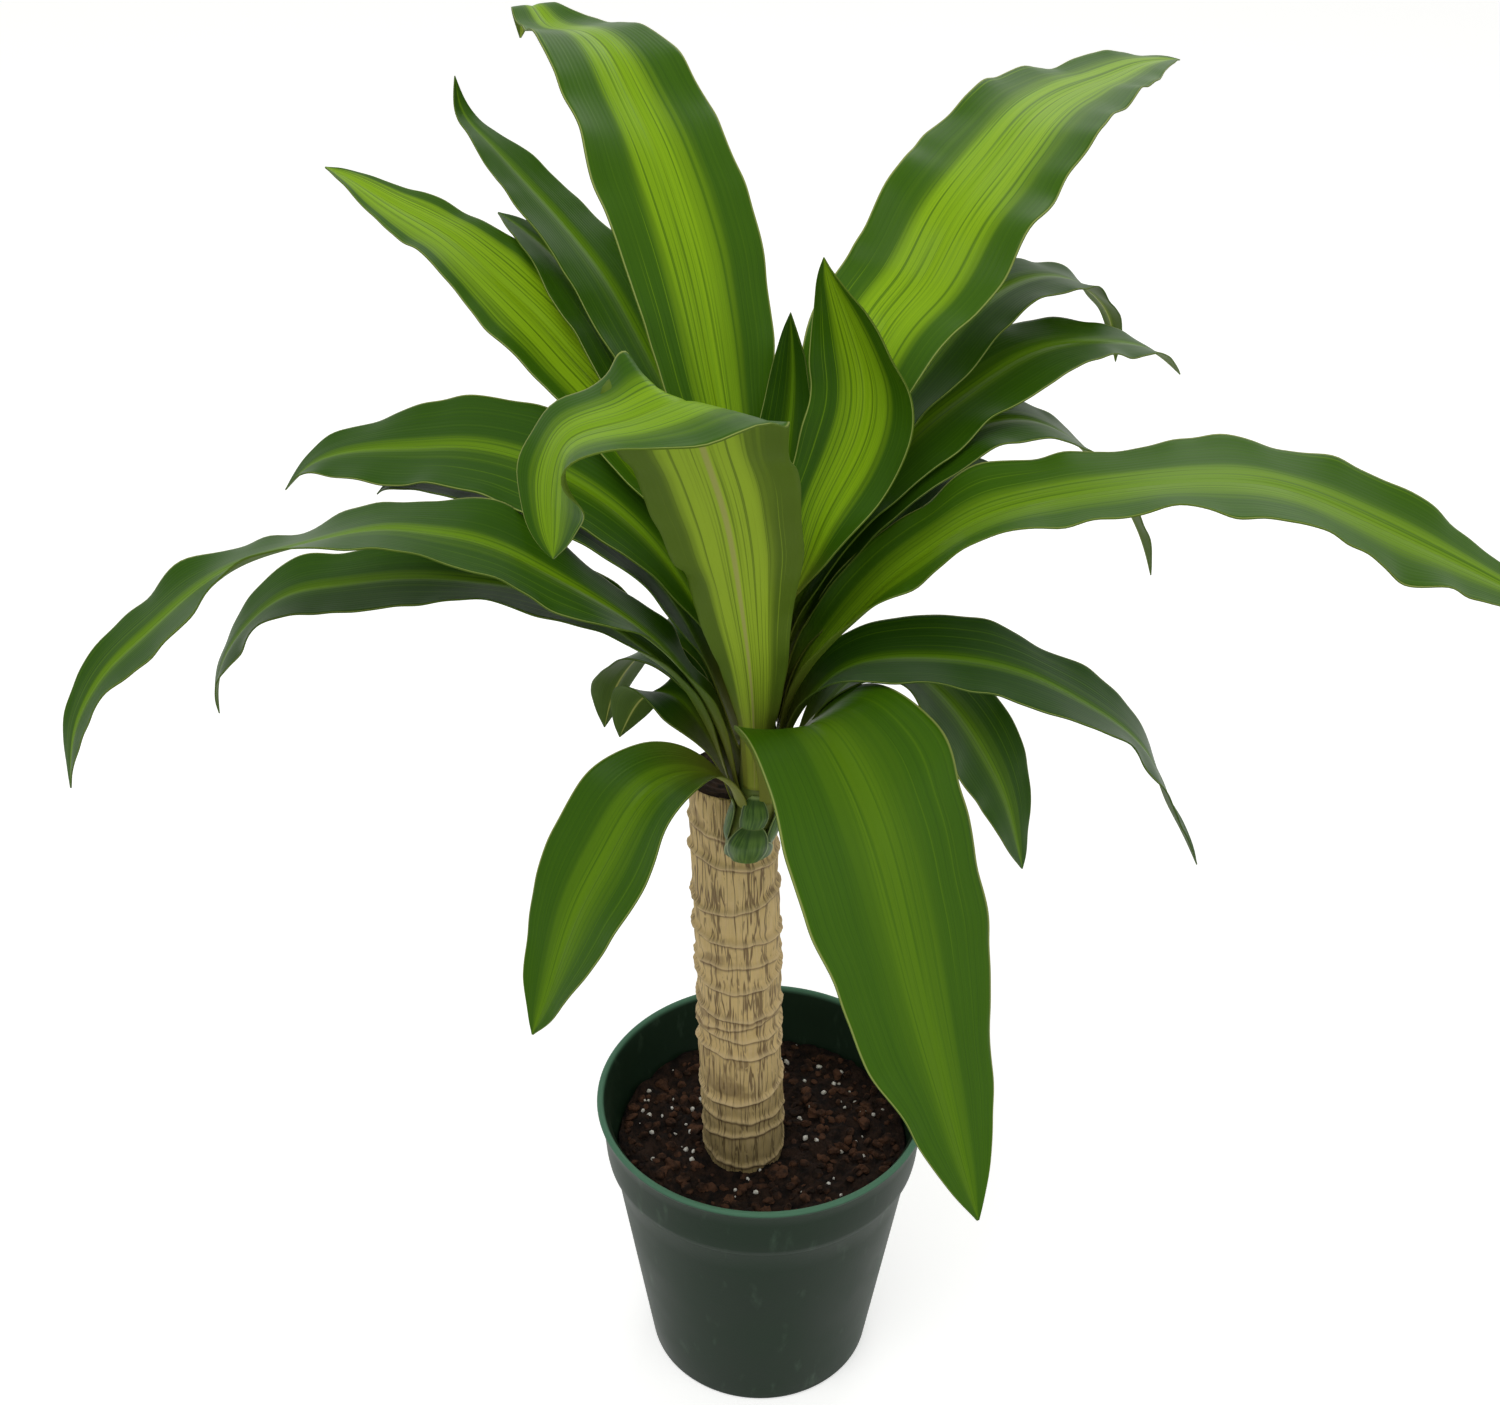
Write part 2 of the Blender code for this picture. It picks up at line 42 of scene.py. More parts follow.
def fromScreen(red, green, blue):      # an 0 to 255 screen colour as a linear one
    share = np.array([red, green, blue]) / 255
    linear = np.where(share <= 0.04045, share / 12.92, ((share + 0.055) / 1.055) ** 2.4)
    return (*[float(value) for value in linear], 1)


# mesh helpers

def gridFaces(rows, columns, wrap):    # quads of a grid; wrap joins its last column to its first
    row, column = np.meshgrid(np.arange(rows - 1), np.arange(columns - (0 if wrap else 1)), indexing="ij")
    after = (column + 1) % columns
    return np.stack([row * columns + column, row * columns + after,
                     (row + 1) * columns + after, (row + 1) * columns + column], axis=2).reshape(-1, 4)


def fanFaces(rows, sides):             # triangles from a wrapped grid's end rows to two middles after it
    middle, last = rows * sides, (rows - 1) * sides
    faces = [(middle, (side + 1) % sides, side) for side in range(sides)]
    return faces + [(middle + 1, last + side, last + (side + 1) % sides) for side in range(sides)]


def rowFace(row, sides):               # one many-sided face over a whole row of a wrapped grid
    return [row * sides + side for side in range(sides)]


def stacked(x, y, z):                  # three arrays as one of points, z spread to the shape of x
    return np.stack([x, y, np.broadcast_to(z, x.shape)], axis=2)


def surface(name, points, faces, finishes, smooth=True):
    mesh = bpy.data.meshes.new(name)
    mesh.from_pydata(np.asarray(points).reshape(-1, 3), [], [list(map(int, face)) for face in faces])
    for finish in finishes:
        mesh.materials.append(finish)
    if smooth:
        mesh.shade_smooth()
    made = bpy.data.objects.new(name, mesh)
    bpy.context.collection.objects.link(made)
    return made


def addUv(made, across, along):        # one value pair for each vertex, copied to the face corners
    layer = made.data.uv_layers.new(name="UVMap")
    corners = np.empty(len(made.data.loops), dtype=np.int32)
    made.data.loops.foreach_get("vertex_index", corners)
    values = np.stack([across.reshape(-1)[corners], along.reshape(-1)[corners]], axis=1)
    layer.data.foreach_set("uv", values.astype(np.float32).reshape(-1))


def addMark(made, name, values):       # one number for each vertex, which a finish reads by its name
    mark = made.data.attributes.new(name, "FLOAT", "POINT")
    mark.data.foreach_set("value", values.astype(np.float32))


def addWall(made, thickness, offset):
    wall = made.modifiers.new("wall", "SOLIDIFY")
    wall.thickness, wall.offset = thickness * mm, offset
    return wall


def settle(made, slot, *nodes):
    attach(made, "root")
    if nodes:
        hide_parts(*nodes)


def waves(places, seed, pitch):        # a smooth wander of about 1 high: three sines of random phase
    random = np.random.default_rng(seed)
    total = np.zeros_like(places, dtype=float)
    for octave in range(3):
        pace = 2 * np.pi * places / pitch * (1 + 0.63 * octave)
        total += np.sin(pace + random.uniform(0, 6.3)) / (1 + octave)
    return total / 1.5


# finish helpers

def newFinish(name, **values):
    made = bpy.data.materials.new(name)
    made.use_nodes = True
    shader = made.node_tree.nodes["Principled BSDF"]
    for key, value in values.items():
        shader.inputs[key].default_value = value
    return made, made.node_tree, shader


def put(tree, kind, inputs=(), **settings):
    made = tree.nodes.new(kind)
    for key, value in settings.items():
        setattr(made, key, value)
    for key, value in dict(inputs).items():
        if isinstance(value, bpy.types.NodeSocket):
            tree.links.new(value, made.inputs[key])
        else:
            made.inputs[key].default_value = value
    return made


def maths(tree, operation, a, b=0.0):
    return put(tree, "ShaderNodeMath", {0: a, 1: b}, operation=operation).outputs[0]


def times(tree, a, b):
    return maths(tree, "MULTIPLY", a, b)


def inverse(tree, share):              # what is left of 1
    return maths(tree, "SUBTRACT", 1, share)


def rise(tree, value, low, high):      # 0 below low, 1 above high, smooth between
    made = put(tree, "ShaderNodeMapRange", {"Value": value, "From Min": low, "From Max": high},
               interpolation_type="SMOOTHSTEP")
    return made.outputs[0]


def blend(tree, share, a, b):
    return put(tree, "ShaderNodeMix", {0: share, 6: a, 7: b}, data_type="RGBA").outputs[2]


def tint(tree, colour, share, strength, target):
    return blend(tree, times(tree, share, strength), colour, target)


def noise(tree, vector, scale, detail=2.0):
    made = put(tree, "ShaderNodeTexNoise", {"Vector": vector, "Scale": scale, "Detail": detail})
    return made.outputs[0]


def stretched(tree, vector, scale):
    return put(tree, "ShaderNodeVectorMath", {0: vector, 1: scale}, operation="MULTIPLY").outputs[0]


def streaks(tree, vector, scale, detail):      # noise with its own scale on each axis
    return noise(tree, stretched(tree, vector, scale), 1, detail)


def bump(tree, shader, height, strength, depth):
    made = put(tree, "ShaderNodeBump", {"Height": height, "Strength": strength, "Distance": depth})
    tree.links.new(made.outputs[0], shader.inputs["Normal"])


def objectPlace(tree):
    return put(tree, "ShaderNodeTexCoord").outputs["Object"]


def mapPlace(tree):
    return put(tree, "ShaderNodeUVMap", uv_map="UVMap").outputs[0]


def markOf(tree, name):
    return put(tree, "ShaderNodeAttribute", attribute_name=name).outputs["Fac"]


def axes(tree, vector):
    return put(tree, "ShaderNodeSeparateXYZ", {0: vector}).outputs


def fromMiddle(tree, across):          # 0 where across is 0.5, 1 at its ends
    return maths(tree, "ABSOLUTE", maths(tree, "SUBTRACT", times(tree, across, 2), 1))


# finishes

leafLook = {
    "margin": fromScreen(66, 106, 8), "marginDeep": fromScreen(30, 66, 5),
    "lime": fromScreen(166, 202, 26), "limeDeep": fromScreen(110, 158, 16),
    "dullLime": fromScreen(82, 120, 12), "edge": fromScreen(150, 164, 86),
    "foot": fromScreen(128, 128, 50), "under": fromScreen(88, 112, 30),
    "underDeep": fromScreen(58, 84, 28), "underLime": fromScreen(158, 186, 50),
    "keel": fromScreen(170, 174, 92), "rough": 0.4, "underRough": 0.55, "shine": 0.1,
}


def bladeFinish(name, under):
    # the map's first value runs across the blade, 0.5 at the midrib; its second is length from the foot
    # in tenths of a metre. Three marks steer each leaf: band is how much of the blade the lime stripe
    # takes, tone the green's freshness, lime the stripe's brightness.
    made, tree, shader = newFinish(name, Roughness=leafLook["underRough" if under else "rough"])
    shader.inputs["Specular IOR Level"].default_value = leafLook["shine"]
    place = mapPlace(tree)
    across, along = axes(tree, place)[:2]
    fromMidrib = fromMiddle(tree, across)
    band, tone, brightness = (markOf(tree, mark) for mark in ("band", "tone", "lime"))
    broad = streaks(tree, place, (9, 0.35, 1), 2)
    fine = streaks(tree, place, (42, 0.45, 1), 3)
    hair = streaks(tree, place, (130, 0.6, 1), 2)
    cloud = streaks(tree, place, (3, 1.2, 1), 2)
    # where the stripe is: a ragged band with green streaks in it, and stray lime streaks beside it
    ragged = maths(tree, "ADD", fromMidrib, times(tree, maths(tree, "SUBTRACT", broad, 0.5), 0.55))
    inBand = inverse(tree, rise(tree, maths(tree, "SUBTRACT", ragged, band), -0.2, 0.16))
    greenStreak = times(tree, rise(tree, fine, 0.5, 0.64), 0.75)
    stray = times(tree, rise(tree, fine, 0.64, 0.72), 0.45)
    limeAmount = maths(tree, "MAXIMUM", times(tree, inBand, inverse(tree, greenStreak)), stray)
    if under:                          # leaves low in tone have dark undersides with no stripe
        green = blend(tree, times(tree, tone, 1.6), leafLook["underDeep"], leafLook["under"])
        lime = blend(tree, times(tree, brightness, 1.6), green, leafLook["underLime"])
    else:
        freshness = maths(tree, "ADD", times(tree, tone, 0.75), times(tree, cloud, 0.25))
        green = blend(tree, freshness, leafLook["marginDeep"], leafLook["margin"])
        green = tint(tree, green, rise(tree, hair, 0.46, 0.66), 0.3, leafLook["marginDeep"])
        green = tint(tree, green, rise(tree, fine, 0.5, 0.7), 0.22, leafLook["dullLime"])
        lime = blend(tree, hair, leafLook["limeDeep"], leafLook["lime"])
        lime = blend(tree, brightness, leafLook["dullLime"], lime)
    colour = blend(tree, limeAmount, green, lime)
    if under:
        colour = blend(tree, inverse(tree, rise(tree, fromMidrib, 0.02, 0.06)), colour, leafLook["keel"])
    else:
        colour = blend(tree, rise(tree, fromMidrib, 0.972, 0.99), colour, leafLook["edge"])
    colour = tint(tree, colour, inverse(tree, rise(tree, along, 0.1, 0.55)), 0.7, leafLook["foot"])
    tree.links.new(colour, shader.inputs["Base Color"])
    veins = put(tree, "ShaderNodeTexWave", {"Vector": stretched(tree, place, (1, 0, 0)), "Scale": 9.0,
                                            "Distortion": 0.6}).outputs["Fac"]
    height = maths(tree, "ADD", times(tree, veins, 0.15), times(tree, cloud, 2.0))
    bump(tree, shader, height, 0.3, 0.0006)
    return made


potLook = {"dark": fromScreen(20, 36, 23), "pale": fromScreen(32, 50, 35), "scuff": fromScreen(96, 122, 100),
           "lip": fromScreen(92, 138, 112), "lipEnds": (0.1475, 0.1495), "rough": 0.42,
           "roughEnds": (0.34, 0.56), "shine": 0.1}


def potFinish():                       # mottled green plastic with faint scuffs, paler at the top of the lip
    made, tree, shader = newFinish("potGreen", Roughness=potLook["rough"])
    shader.inputs["Specular IOR Level"].default_value = potLook["shine"]
    place = objectPlace(tree)
    mottle = noise(tree, place, 30, 4)
    colour = blend(tree, mottle, potLook["dark"], potLook["pale"])
    scuff = rise(tree, streaks(tree, place, (130, 130, 45), 6), 0.58, 0.85)
    colour = tint(tree, colour, scuff, 0.3, potLook["scuff"])
    lipTop = rise(tree, axes(tree, place)[2], *potLook["lipEnds"])
    colour = tint(tree, colour, lipTop, 0.75, potLook["lip"])
    tree.links.new(colour, shader.inputs["Base Color"])
    low, high = potLook["roughEnds"]
    rough = put(tree, "ShaderNodeMapRange", {"Value": mottle, "To Min": low, "To Max": high}).outputs[0]
    tree.links.new(rough, shader.inputs["Roughness"])
    bump(tree, shader, noise(tree, place, 900, 2), 0.12, 0.0003)
    return made


# ring is the leaf scars' pale ridge; the colour after it is painted shadow just under that ridge
barkLook = {"dull": fromScreen(188, 160, 100), "pale": fromScreen(234, 206, 146),
            "fibre": fromScreen(220, 194, 150), "crack": fromScreen(82, 56, 32),
            "blotch": fromScreen(104, 78, 46), "foot": fromScreen(92, 84, 44),
            "ring": fromScreen(222, 196, 148), "seam": fromScreen(84, 58, 34),
            "rough": 0.78, "footEnds": (0.12, 0.19)}


def barkFinish():
    # the map's first value runs round the cane, its second is height, both in tenths of a metre. Two marks
    # say where the leaf scars are: ring is their pale ridge, the other a painted shadow, a dark line just
    # under it.
    made, tree, shader = newFinish("caneBark", Roughness=barkLook["rough"])
    place = objectPlace(tree)
    wrap = mapPlace(tree)
    colour = blend(tree, streaks(tree, place, (60, 60, 25), 4), barkLook["dull"], barkLook["pale"])
    fibres = streaks(tree, wrap, (110, 6, 1), 4)
    colour = tint(tree, colour, rise(tree, fibres, 0.4, 0.7), 0.45, barkLook["fibre"])
    # short cracks stop at the edges of cells; long ones follow the middle value of a drawn-out noise
    cells = put(tree, "ShaderNodeTexVoronoi", {"Vector": stretched(tree, wrap, (26, 9, 1)), "Scale": 1.0},
                feature="DISTANCE_TO_EDGE").outputs["Distance"]
    short = rise(tree, streaks(tree, wrap, (70, 5, 1), 3), 0.57, 0.63)
    short = times(tree, short, rise(tree, cells, 0.02, 0.1))
    long = maths(tree, "ABSOLUTE", maths(tree, "SUBTRACT", streaks(tree, wrap, (30, 1.8, 1), 2), 0.5))
    long = inverse(tree, rise(tree, long, 0.006, 0.03))
    crack = maths(tree, "MAXIMUM", times(tree, short, 0.7), long)
    colour = tint(tree, colour, crack, 0.75, barkLook["crack"])
    colour = tint(tree, colour, rise(tree, noise(tree, place, 55, 3), 0.58, 0.7), 0.5, barkLook["blotch"])
    nearMix = inverse(tree, rise(tree, axes(tree, place)[2], *barkLook["footEnds"]))
    colour = tint(tree, colour, nearMix, 0.45, barkLook["foot"])
    colour = tint(tree, colour, markOf(tree, "ring"), 0.75, barkLook["ring"])
    # painted shadow: a dark line just under each leaf scar's ridge
    colour = tint(tree, colour, markOf(tree, "seam"), 0.7, barkLook["seam"])
    tree.links.new(colour, shader.inputs["Base Color"])
    bump(tree, shader, maths(tree, "SUBTRACT", fibres, crack), 0.6, 0.0012)
    return made


scaleLook = {"dark": fromScreen(52, 84, 30), "pale": fromScreen(92, 124, 52), "shade": fromScreen(38, 62, 22),
             "edge": fromScreen(140, 160, 96), "rough": 0.45, "shine": 0.15}


def scaleFinish():
    # the map's first value runs across a bud scale, its second from the foot to the tip
    made, tree, shader = newFinish("budScale", Roughness=scaleLook["rough"])
    shader.inputs["Specular IOR Level"].default_value = scaleLook["shine"]
    wrap = mapPlace(tree)
    grain = streaks(tree, wrap, (16, 2, 1), 3)
    colour = blend(tree, rise(tree, grain, 0.3, 0.7), scaleLook["dark"], scaleLook["pale"])
    across, along = axes(tree, wrap)[:2]
    nearEdge = maths(tree, "MAXIMUM", fromMiddle(tree, across), along)
    colour = tint(tree, colour, rise(tree, nearEdge, 0.7, 0.86), 0.6, scaleLook["shade"])
    colour = tint(tree, colour, rise(tree, nearEdge, 0.9, 0.97), 0.9, scaleLook["edge"])
    tree.links.new(colour, shader.inputs["Base Color"])
    bump(tree, shader, grain, 0.4, 0.0006)
    return made


def plainFinish(name, dark, pale, scale, roughness, depth, strength=0.5):
    made, tree, shader = newFinish(name, Roughness=roughness)
    shader.inputs["Specular IOR Level"].default_value = 0.2
    grain = noise(tree, objectPlace(tree), scale, 5)
    tree.links.new(blend(tree, rise(tree, grain, 0.35, 0.65), dark, pale), shader.inputs["Base Color"])
    bump(tree, shader, grain, strength, depth)
    return made


finishes = {
    "bladeTop": bladeFinish("bladeTop", False),
    "bladeUnder": bladeFinish("bladeUnder", True),
    "pot": potFinish(),
    "bark": barkFinish(),
    "cut": plainFinish("driedCut", fromScreen(24, 18, 14), fromScreen(62, 46, 34), 260, 0.85, 0.001),
    "mix": plainFinish("darkMix", fromScreen(16, 10, 7), fromScreen(44, 30, 22), 240, 0.95, 0.002, 0.8),
    "barkBit": plainFinish("barkBit", fromScreen(28, 18, 12), fromScreen(84, 56, 40), 160, 0.9, 0.001),
    "perlite": plainFinish("perlite", fromScreen(200, 196, 186), fromScreen(240, 238, 232), 500, 0.8, 0.0005),
    "shoot": plainFinish("shootSkin", fromScreen(92, 108, 44), fromScreen(140, 146, 74), 90, 0.5, 0.0006),
    "scale": scaleFinish(),
}
print("finishes made")


# pot

pot = {"height": 150, "rim": 76.2, "bandHeight": 30, "band": 72, "step": 69.5, "base": 53, "wall": 1.8,
       "floor": 2.5, "lip": 3.0, "middle": 8, "flare": 1.9, "squash": 0.004, "sides": 160,
       "holes": 8, "holeRadius": 5, "holeCircle": 41, "holeDepth": 12, "sharpAngle": 50}


def arc(centre, radius, start, end, count):      # points on an arc in radius and height
    angles = np.radians(np.linspace(start, end, count))
    return [(centre[0] + radius * math.cos(a), centre[1] + radius * math.sin(a)) for a in angles]


def turned(profile, sides):            # the points of radius and height pairs turned about the Z axis
    angles = np.linspace(0, 2 * np.pi, sides, endpoint=False)
    return np.stack([profile[:, :1] * np.cos(angles), profile[:, :1] * np.sin(angles),
                     np.repeat(profile[:, 1:], sides, axis=1)], axis=2) * mm


def keepResult(made):                  # the piece's mesh becomes the one that its modifiers give
    bpy.context.view_layer.update()
    done = made.evaluated_get(bpy.context.evaluated_depsgraph_get())
    mesh = bpy.data.meshes.new_from_object(done)
    made.modifiers.clear()
    made.data = mesh


def makePot():
    # up the outside from the base to the lip, over it and down the inside; the small offsets round the
    # base's edge, the step under the band and the floor's corner
    lipRound = pot["lip"] / 2
    top = pot["height"] - lipRound
    bandLow = pot["height"] - pot["bandHeight"]
    base, band, step, wall = (pot[key] for key in ("base", "band", "step", "wall"))
    profile = [(pot["middle"], 0), (base - 3, 0), *arc((base - 2, 2), 2, -90, 0, 5)]
    profile += [(base + (step - base) * share, 2 + (bandLow - 4) * share)
                for share in np.linspace(0.08, 1, 9)]
    profile += [(step + 0.4, bandLow - 1.2), (band - 0.8, bandLow - 0.4), (band, bandLow + 0.4)]
    profile += [(band + 0.3 + pot["flare"] * share, bandLow + 1 + (pot["bandHeight"] - 6) * share)
                for share in np.linspace(0.1, 1, 5)]
    profile += arc((pot["rim"] - lipRound, top), lipRound, -60, 180, 13)
    profile += [(band - wall + 0.6, top - 4), (band - wall, bandLow + 2), (step - wall + 0.3, bandLow),
                (step - wall, bandLow - 3), (base - wall + 1, pot["floor"] + 3),
                (base - wall - 2, pot["floor"]), (pot["middle"], pot["floor"])]
    profile = np.array(profile, float)
    points = turned(profile, pot["sides"])
    rows, sides = points.shape[:2]
    angles = np.linspace(0, 2 * np.pi, sides, endpoint=False)
    squash = 1 + pot["squash"] * np.cos(2 * (angles - 0.5)) * (profile[:, 1:] / pot["height"])
    points[..., :2] *= squash[..., None]
    points = np.vstack([points.reshape(-1, 3), [(0, 0, 0), (0, 0, pot["floor"] * mm)]])
    faces = gridFaces(rows, sides, True).tolist() + fanFaces(rows, sides)
    shell = surface("potShell", points, faces, [finishes["pot"]])
    cutters = []
    for hole in range(pot["holes"]):
        turn = 2 * math.pi * (hole + 0.5) / pot["holes"]
        away = pot["holeCircle"] * mm
        bpy.ops.mesh.primitive_cylinder_add(
            vertices=32, radius=pot["holeRadius"] * mm, depth=pot["holeDepth"] * mm,
            location=(away * math.cos(turn), away * math.sin(turn), 0))
        cutters.append(bpy.context.object)
        drill = shell.modifiers.new("hole", "BOOLEAN")
        drill.operation, drill.solver, drill.object = "DIFFERENCE", "EXACT", cutters[-1]
    keepResult(shell)
    for cutter in cutters:
        bpy.data.objects.remove(cutter, do_unlink=True)
    shell.data.shade_smooth()
    shell.data.set_sharp_from_angle(angle=math.radians(pot["sharpAngle"]))
    settle(shell, "pot", "nursery_pot")


makePot()
print("pot made")


# cane. Its rings are leaf scars: pairs of height in mm and strength.

# the two lengths after dipHalf place the painted shadow under each scar's ridge: how far below it, and how
# wide
cane = {"radius": 18.4, "foot": (-6, -5, 30), "top": (-14.5, -5, 331), "sides": 220, "rows": 430,
        "rings": ((128, 0.7), (142, 0.8), (153, 0.7), (166, 1.1), (190, 1.2), (203, 1.0), (208, 0.7),
                  (213, 1.1), (232, 1.2), (241, 0.9), (256, 1.3), (274, 1.2), (295, 1.1), (312, 0.8)),
        "ringHalf": 1.0, "ringLift": 1.2, "dipDepth": 0.4, "dipAbove": 3.0, "dipHalf": 2.6,
        "shadowBelow": 1.7, "shadowHalf": 0.7, "grain": 0.16, "bevel": 2, "bevelDepth": 0.5}


def caneCentre(height):                # where the cane's axis is at a height
    share = (height - cane["foot"][2]) / (cane["top"][2] - cane["foot"][2])
    return [cane["foot"][k] + share * (cane["top"][k] - cane["foot"][k]) for k in range(2)]


def withMiddles(values, shape):        # one value for each place of a grid, and 0 for its two middles
    return np.append(np.broadcast_to(values, shape).reshape(-1), (0, 0))


def makeCane():
    # radius = a plain one, plus low lumps, a fine grain, and at each wavy leaf scar a narrow ridge with
    # a dip above it
    angles = np.linspace(0, 2 * np.pi, cane["sides"], endpoint=False)[None]
    heights = np.linspace(cane["foot"][2], cane["top"][2], cane["rows"])[:, None]
    radius = np.full((cane["rows"], cane["sides"]), cane["radius"])
    radius += 0.25 * np.sin(3 * angles + heights / 17) + 0.2 * np.sin(5 * angles - heights / 9)
    ringness, scarShadows = np.zeros_like(radius), np.zeros_like(radius)
    for number, (height, lift) in enumerate(cane["rings"]):
        phase = number * 2.4
        edge = height + 2.2 * np.sin(angles + phase) + 0.9 * np.sin(2 * angles + 2 * phase) \
            + 0.35 * np.sin(9 * angles + phase)
        ridge = np.exp(-((heights - edge) / cane["ringHalf"]) ** 2)
        dip = np.exp(-((heights - edge - cane["dipAbove"]) / cane["dipHalf"]) ** 2)
        radius += cane["ringLift"] * lift * ridge - cane["dipDepth"] * lift * dip
        ringness = np.maximum(ringness, ridge * lift)
        # painted shadow: a dark line just under each scar's ridge, kept as a mark for the bark's colour
        seam = np.exp(-((heights - edge + cane["shadowBelow"]) / cane["shadowHalf"]) ** 2)
        scarShadows = np.maximum(scarShadows, seam)
    fine = np.random.default_rng(4).normal(0, 1, (cane["rows"], cane["sides"]))
    for _ in range(3):                 # soft round the cane, softer still along it
        fine = (fine + np.roll(fine, 1, 1) + np.roll(fine, -1, 1)) / 3
    for _ in range(12):
        fine[1:-1] = (fine[:-2] + fine[1:-1] + fine[2:]) / 3
    radius += cane["grain"] * fine / fine.std()
    intoBevel = heights - cane["top"][2] + cane["bevel"]
    radius = np.where(intoBevel > 0, radius - cane["bevelDepth"] * intoBevel / cane["bevel"], radius)
    x, y = caneCentre(heights)
    points = stacked(x + radius * np.cos(angles), y + radius * np.sin(angles), heights)
    points = np.vstack([points.reshape(-1, 3), [cane["foot"], cane["top"]]]) * mm
    faces = gridFaces(*radius.shape, True).tolist() + fanFaces(*radius.shape)
    stem = surface("caneStem", points, faces, [finishes["bark"]])
    around = withMiddles(angles * cane["radius"] / 100, radius.shape)
    addUv(stem, around, withMiddles(heights / 100, radius.shape))
    # the scars' pale ridge, and the painted shadow under it, as marks for the bark
    for name, values in (("ring", ringness), ("seam", scarShadows)):
        addMark(stem, name, withMiddles(np.clip(values, 0, 1), radius.shape))
    settle(stem, "bark", "cane")


cut = {"rings": 24, "sides": 96, "lift": 1.2, "bowl": 0.9, "rim": 0.3, "least": 0.5, "most": 2.7}


def makeCutTop():
    # a rough dried disc: its height is a sunk bowl with lumps, kept between least and most, low at the rim
    share = np.linspace(0, 1, cut["rings"])[:, None]
    angles = np.linspace(0, 2 * np.pi, cut["sides"], endpoint=False)[None]
    radius = cane["radius"] * share * (1 + 0.015 * np.sin(5 * angles + 1))
    lift = cut["lift"] + cut["bowl"] * share ** 4 + 0.35 * np.sin(7 * angles) * share \
        + 0.4 * np.sin(11 * share * 3 + 3 * angles)
    lift = np.where(share > 0.97, cut["rim"], np.clip(lift, cut["least"], cut["most"]))
    x, y, z = cane["top"]
    points = stacked(x + radius * np.cos(angles), y + radius * np.sin(angles), z + lift)
    faces = gridFaces(*radius.shape, True).tolist() + [rowFace(cut["rings"] - 1, cut["sides"])[::-1]]
    settle(surface("caneCutFace", points * mm, faces, [finishes["cut"]]), "cut", "cane_cut_top")


makeCane()
makeCutTop()
print("cane made")


# potting mix

mix = {"top": 123, "radius": 67.0, "sides": 220, "rings": 110, "rough": 0.35, "skirt": 0.93,
       "skirtFoot": 95.0, "bits": 520, "perlite": 90}
lumpGrid = {"rows": 5, "sides": 7, "pole": 0.25, "sunk": 0.35}


def mixHeight(x, y):                   # the top's height in mm at places in mm: three sizes of lump
    return (mix["top"] - 1.2 + 0.9 * np.sin(x / 7.1 + 1) * np.sin(y / 6.3) + 0.6 * np.sin(x / 2.9 + y / 3.7)
            + 0.5 * np.sin(x / 1.7 - y / 1.9 + 2))


def makeMix():
    share = np.linspace(0.02, 1, mix["rings"])[:, None]
    angles = np.linspace(0, 2 * np.pi, mix["sides"], endpoint=False)[None]
    x = mix["radius"] * share * np.cos(angles)
    y = mix["radius"] * share * np.sin(angles)
    tall = mixHeight(x, y) + np.random.default_rng(8).normal(0, mix["rough"], x.shape)
    skirt = stacked(x[-1:] * mix["skirt"], y[-1:] * mix["skirt"], mix["skirtFoot"])
    points = np.concatenate([stacked(x, y, tall), skirt], axis=0)
    rows, sides = points.shape[:2]
    faces = gridFaces(rows, sides, True)[:, ::-1].tolist()
    faces += [rowFace(0, sides), rowFace(rows - 1, sides)[::-1]]
    settle(surface("mixBody", points * mm, faces, [finishes["mix"]]), "mix", "potting_mix")


def turnedAbout(axis, angle):          # the matrix that turns a row of points about X or Z
    c, s = math.cos(angle), math.sin(angle)
    return np.array([[1, 0, 0], [0, c, -s], [0, s, c]] if axis == "X" else [[c, -s, 0], [s, c, 0], [0, 0, 1]])


def scatter(name, finish, count, seed, sizes, flat, slot):
    # lumps: small closed globes, stretched, turned and pushed about at random
    random = np.random.default_rng(seed)
    rows, sides = lumpGrid["rows"], lumpGrid["sides"]
    tilt = np.linspace(lumpGrid["pole"], np.pi - lumpGrid["pole"], rows)[:, None]
    turn = np.linspace(0, 2 * np.pi, sides, endpoint=False)[None]
    globe = stacked(np.sin(tilt) * np.cos(turn), np.sin(tilt) * np.sin(turn), np.cos(tilt)).reshape(-1, 3)
    base = gridFaces(rows, sides, True)[:, ::-1].tolist()
    base += [rowFace(0, sides), rowFace(rows - 1, sides)[::-1]]
    caneX, caneY = caneCentre(mix["top"])
    points, faces = [], []
    while len(points) < count:
        x, y = random.uniform(-mix["radius"], mix["radius"], 2)
        size = random.uniform(*sizes)
        gap = math.hypot(x - caneX, y - caneY)
        if math.hypot(x, y) > mix["radius"] - size - 1 or gap < cane["radius"] + size:
            continue
        stretch = np.array([random.uniform(0.7, 1.3), random.uniform(0.5, 1), random.uniform(*flat)]) * size
        lump = globe * stretch * random.uniform(0.8, 1.2, (len(globe), 1))
        heading, tip = random.uniform(0, 6.28), random.uniform(-0.5, 0.5)
        lump = lump @ turnedAbout("X", tip) @ turnedAbout("Z", heading)
        lump += (x, y, float(mixHeight(x, y)) + stretch[2] * lumpGrid["sunk"])
        start = len(points) * len(globe)
        faces += [[start + corner for corner in face] for face in base]
        points.append(lump)
    lumps = surface(name, np.vstack(points) * mm, faces, [finishes[finish]], smooth=(finish == "perlite"))
    settle(lumps, slot)


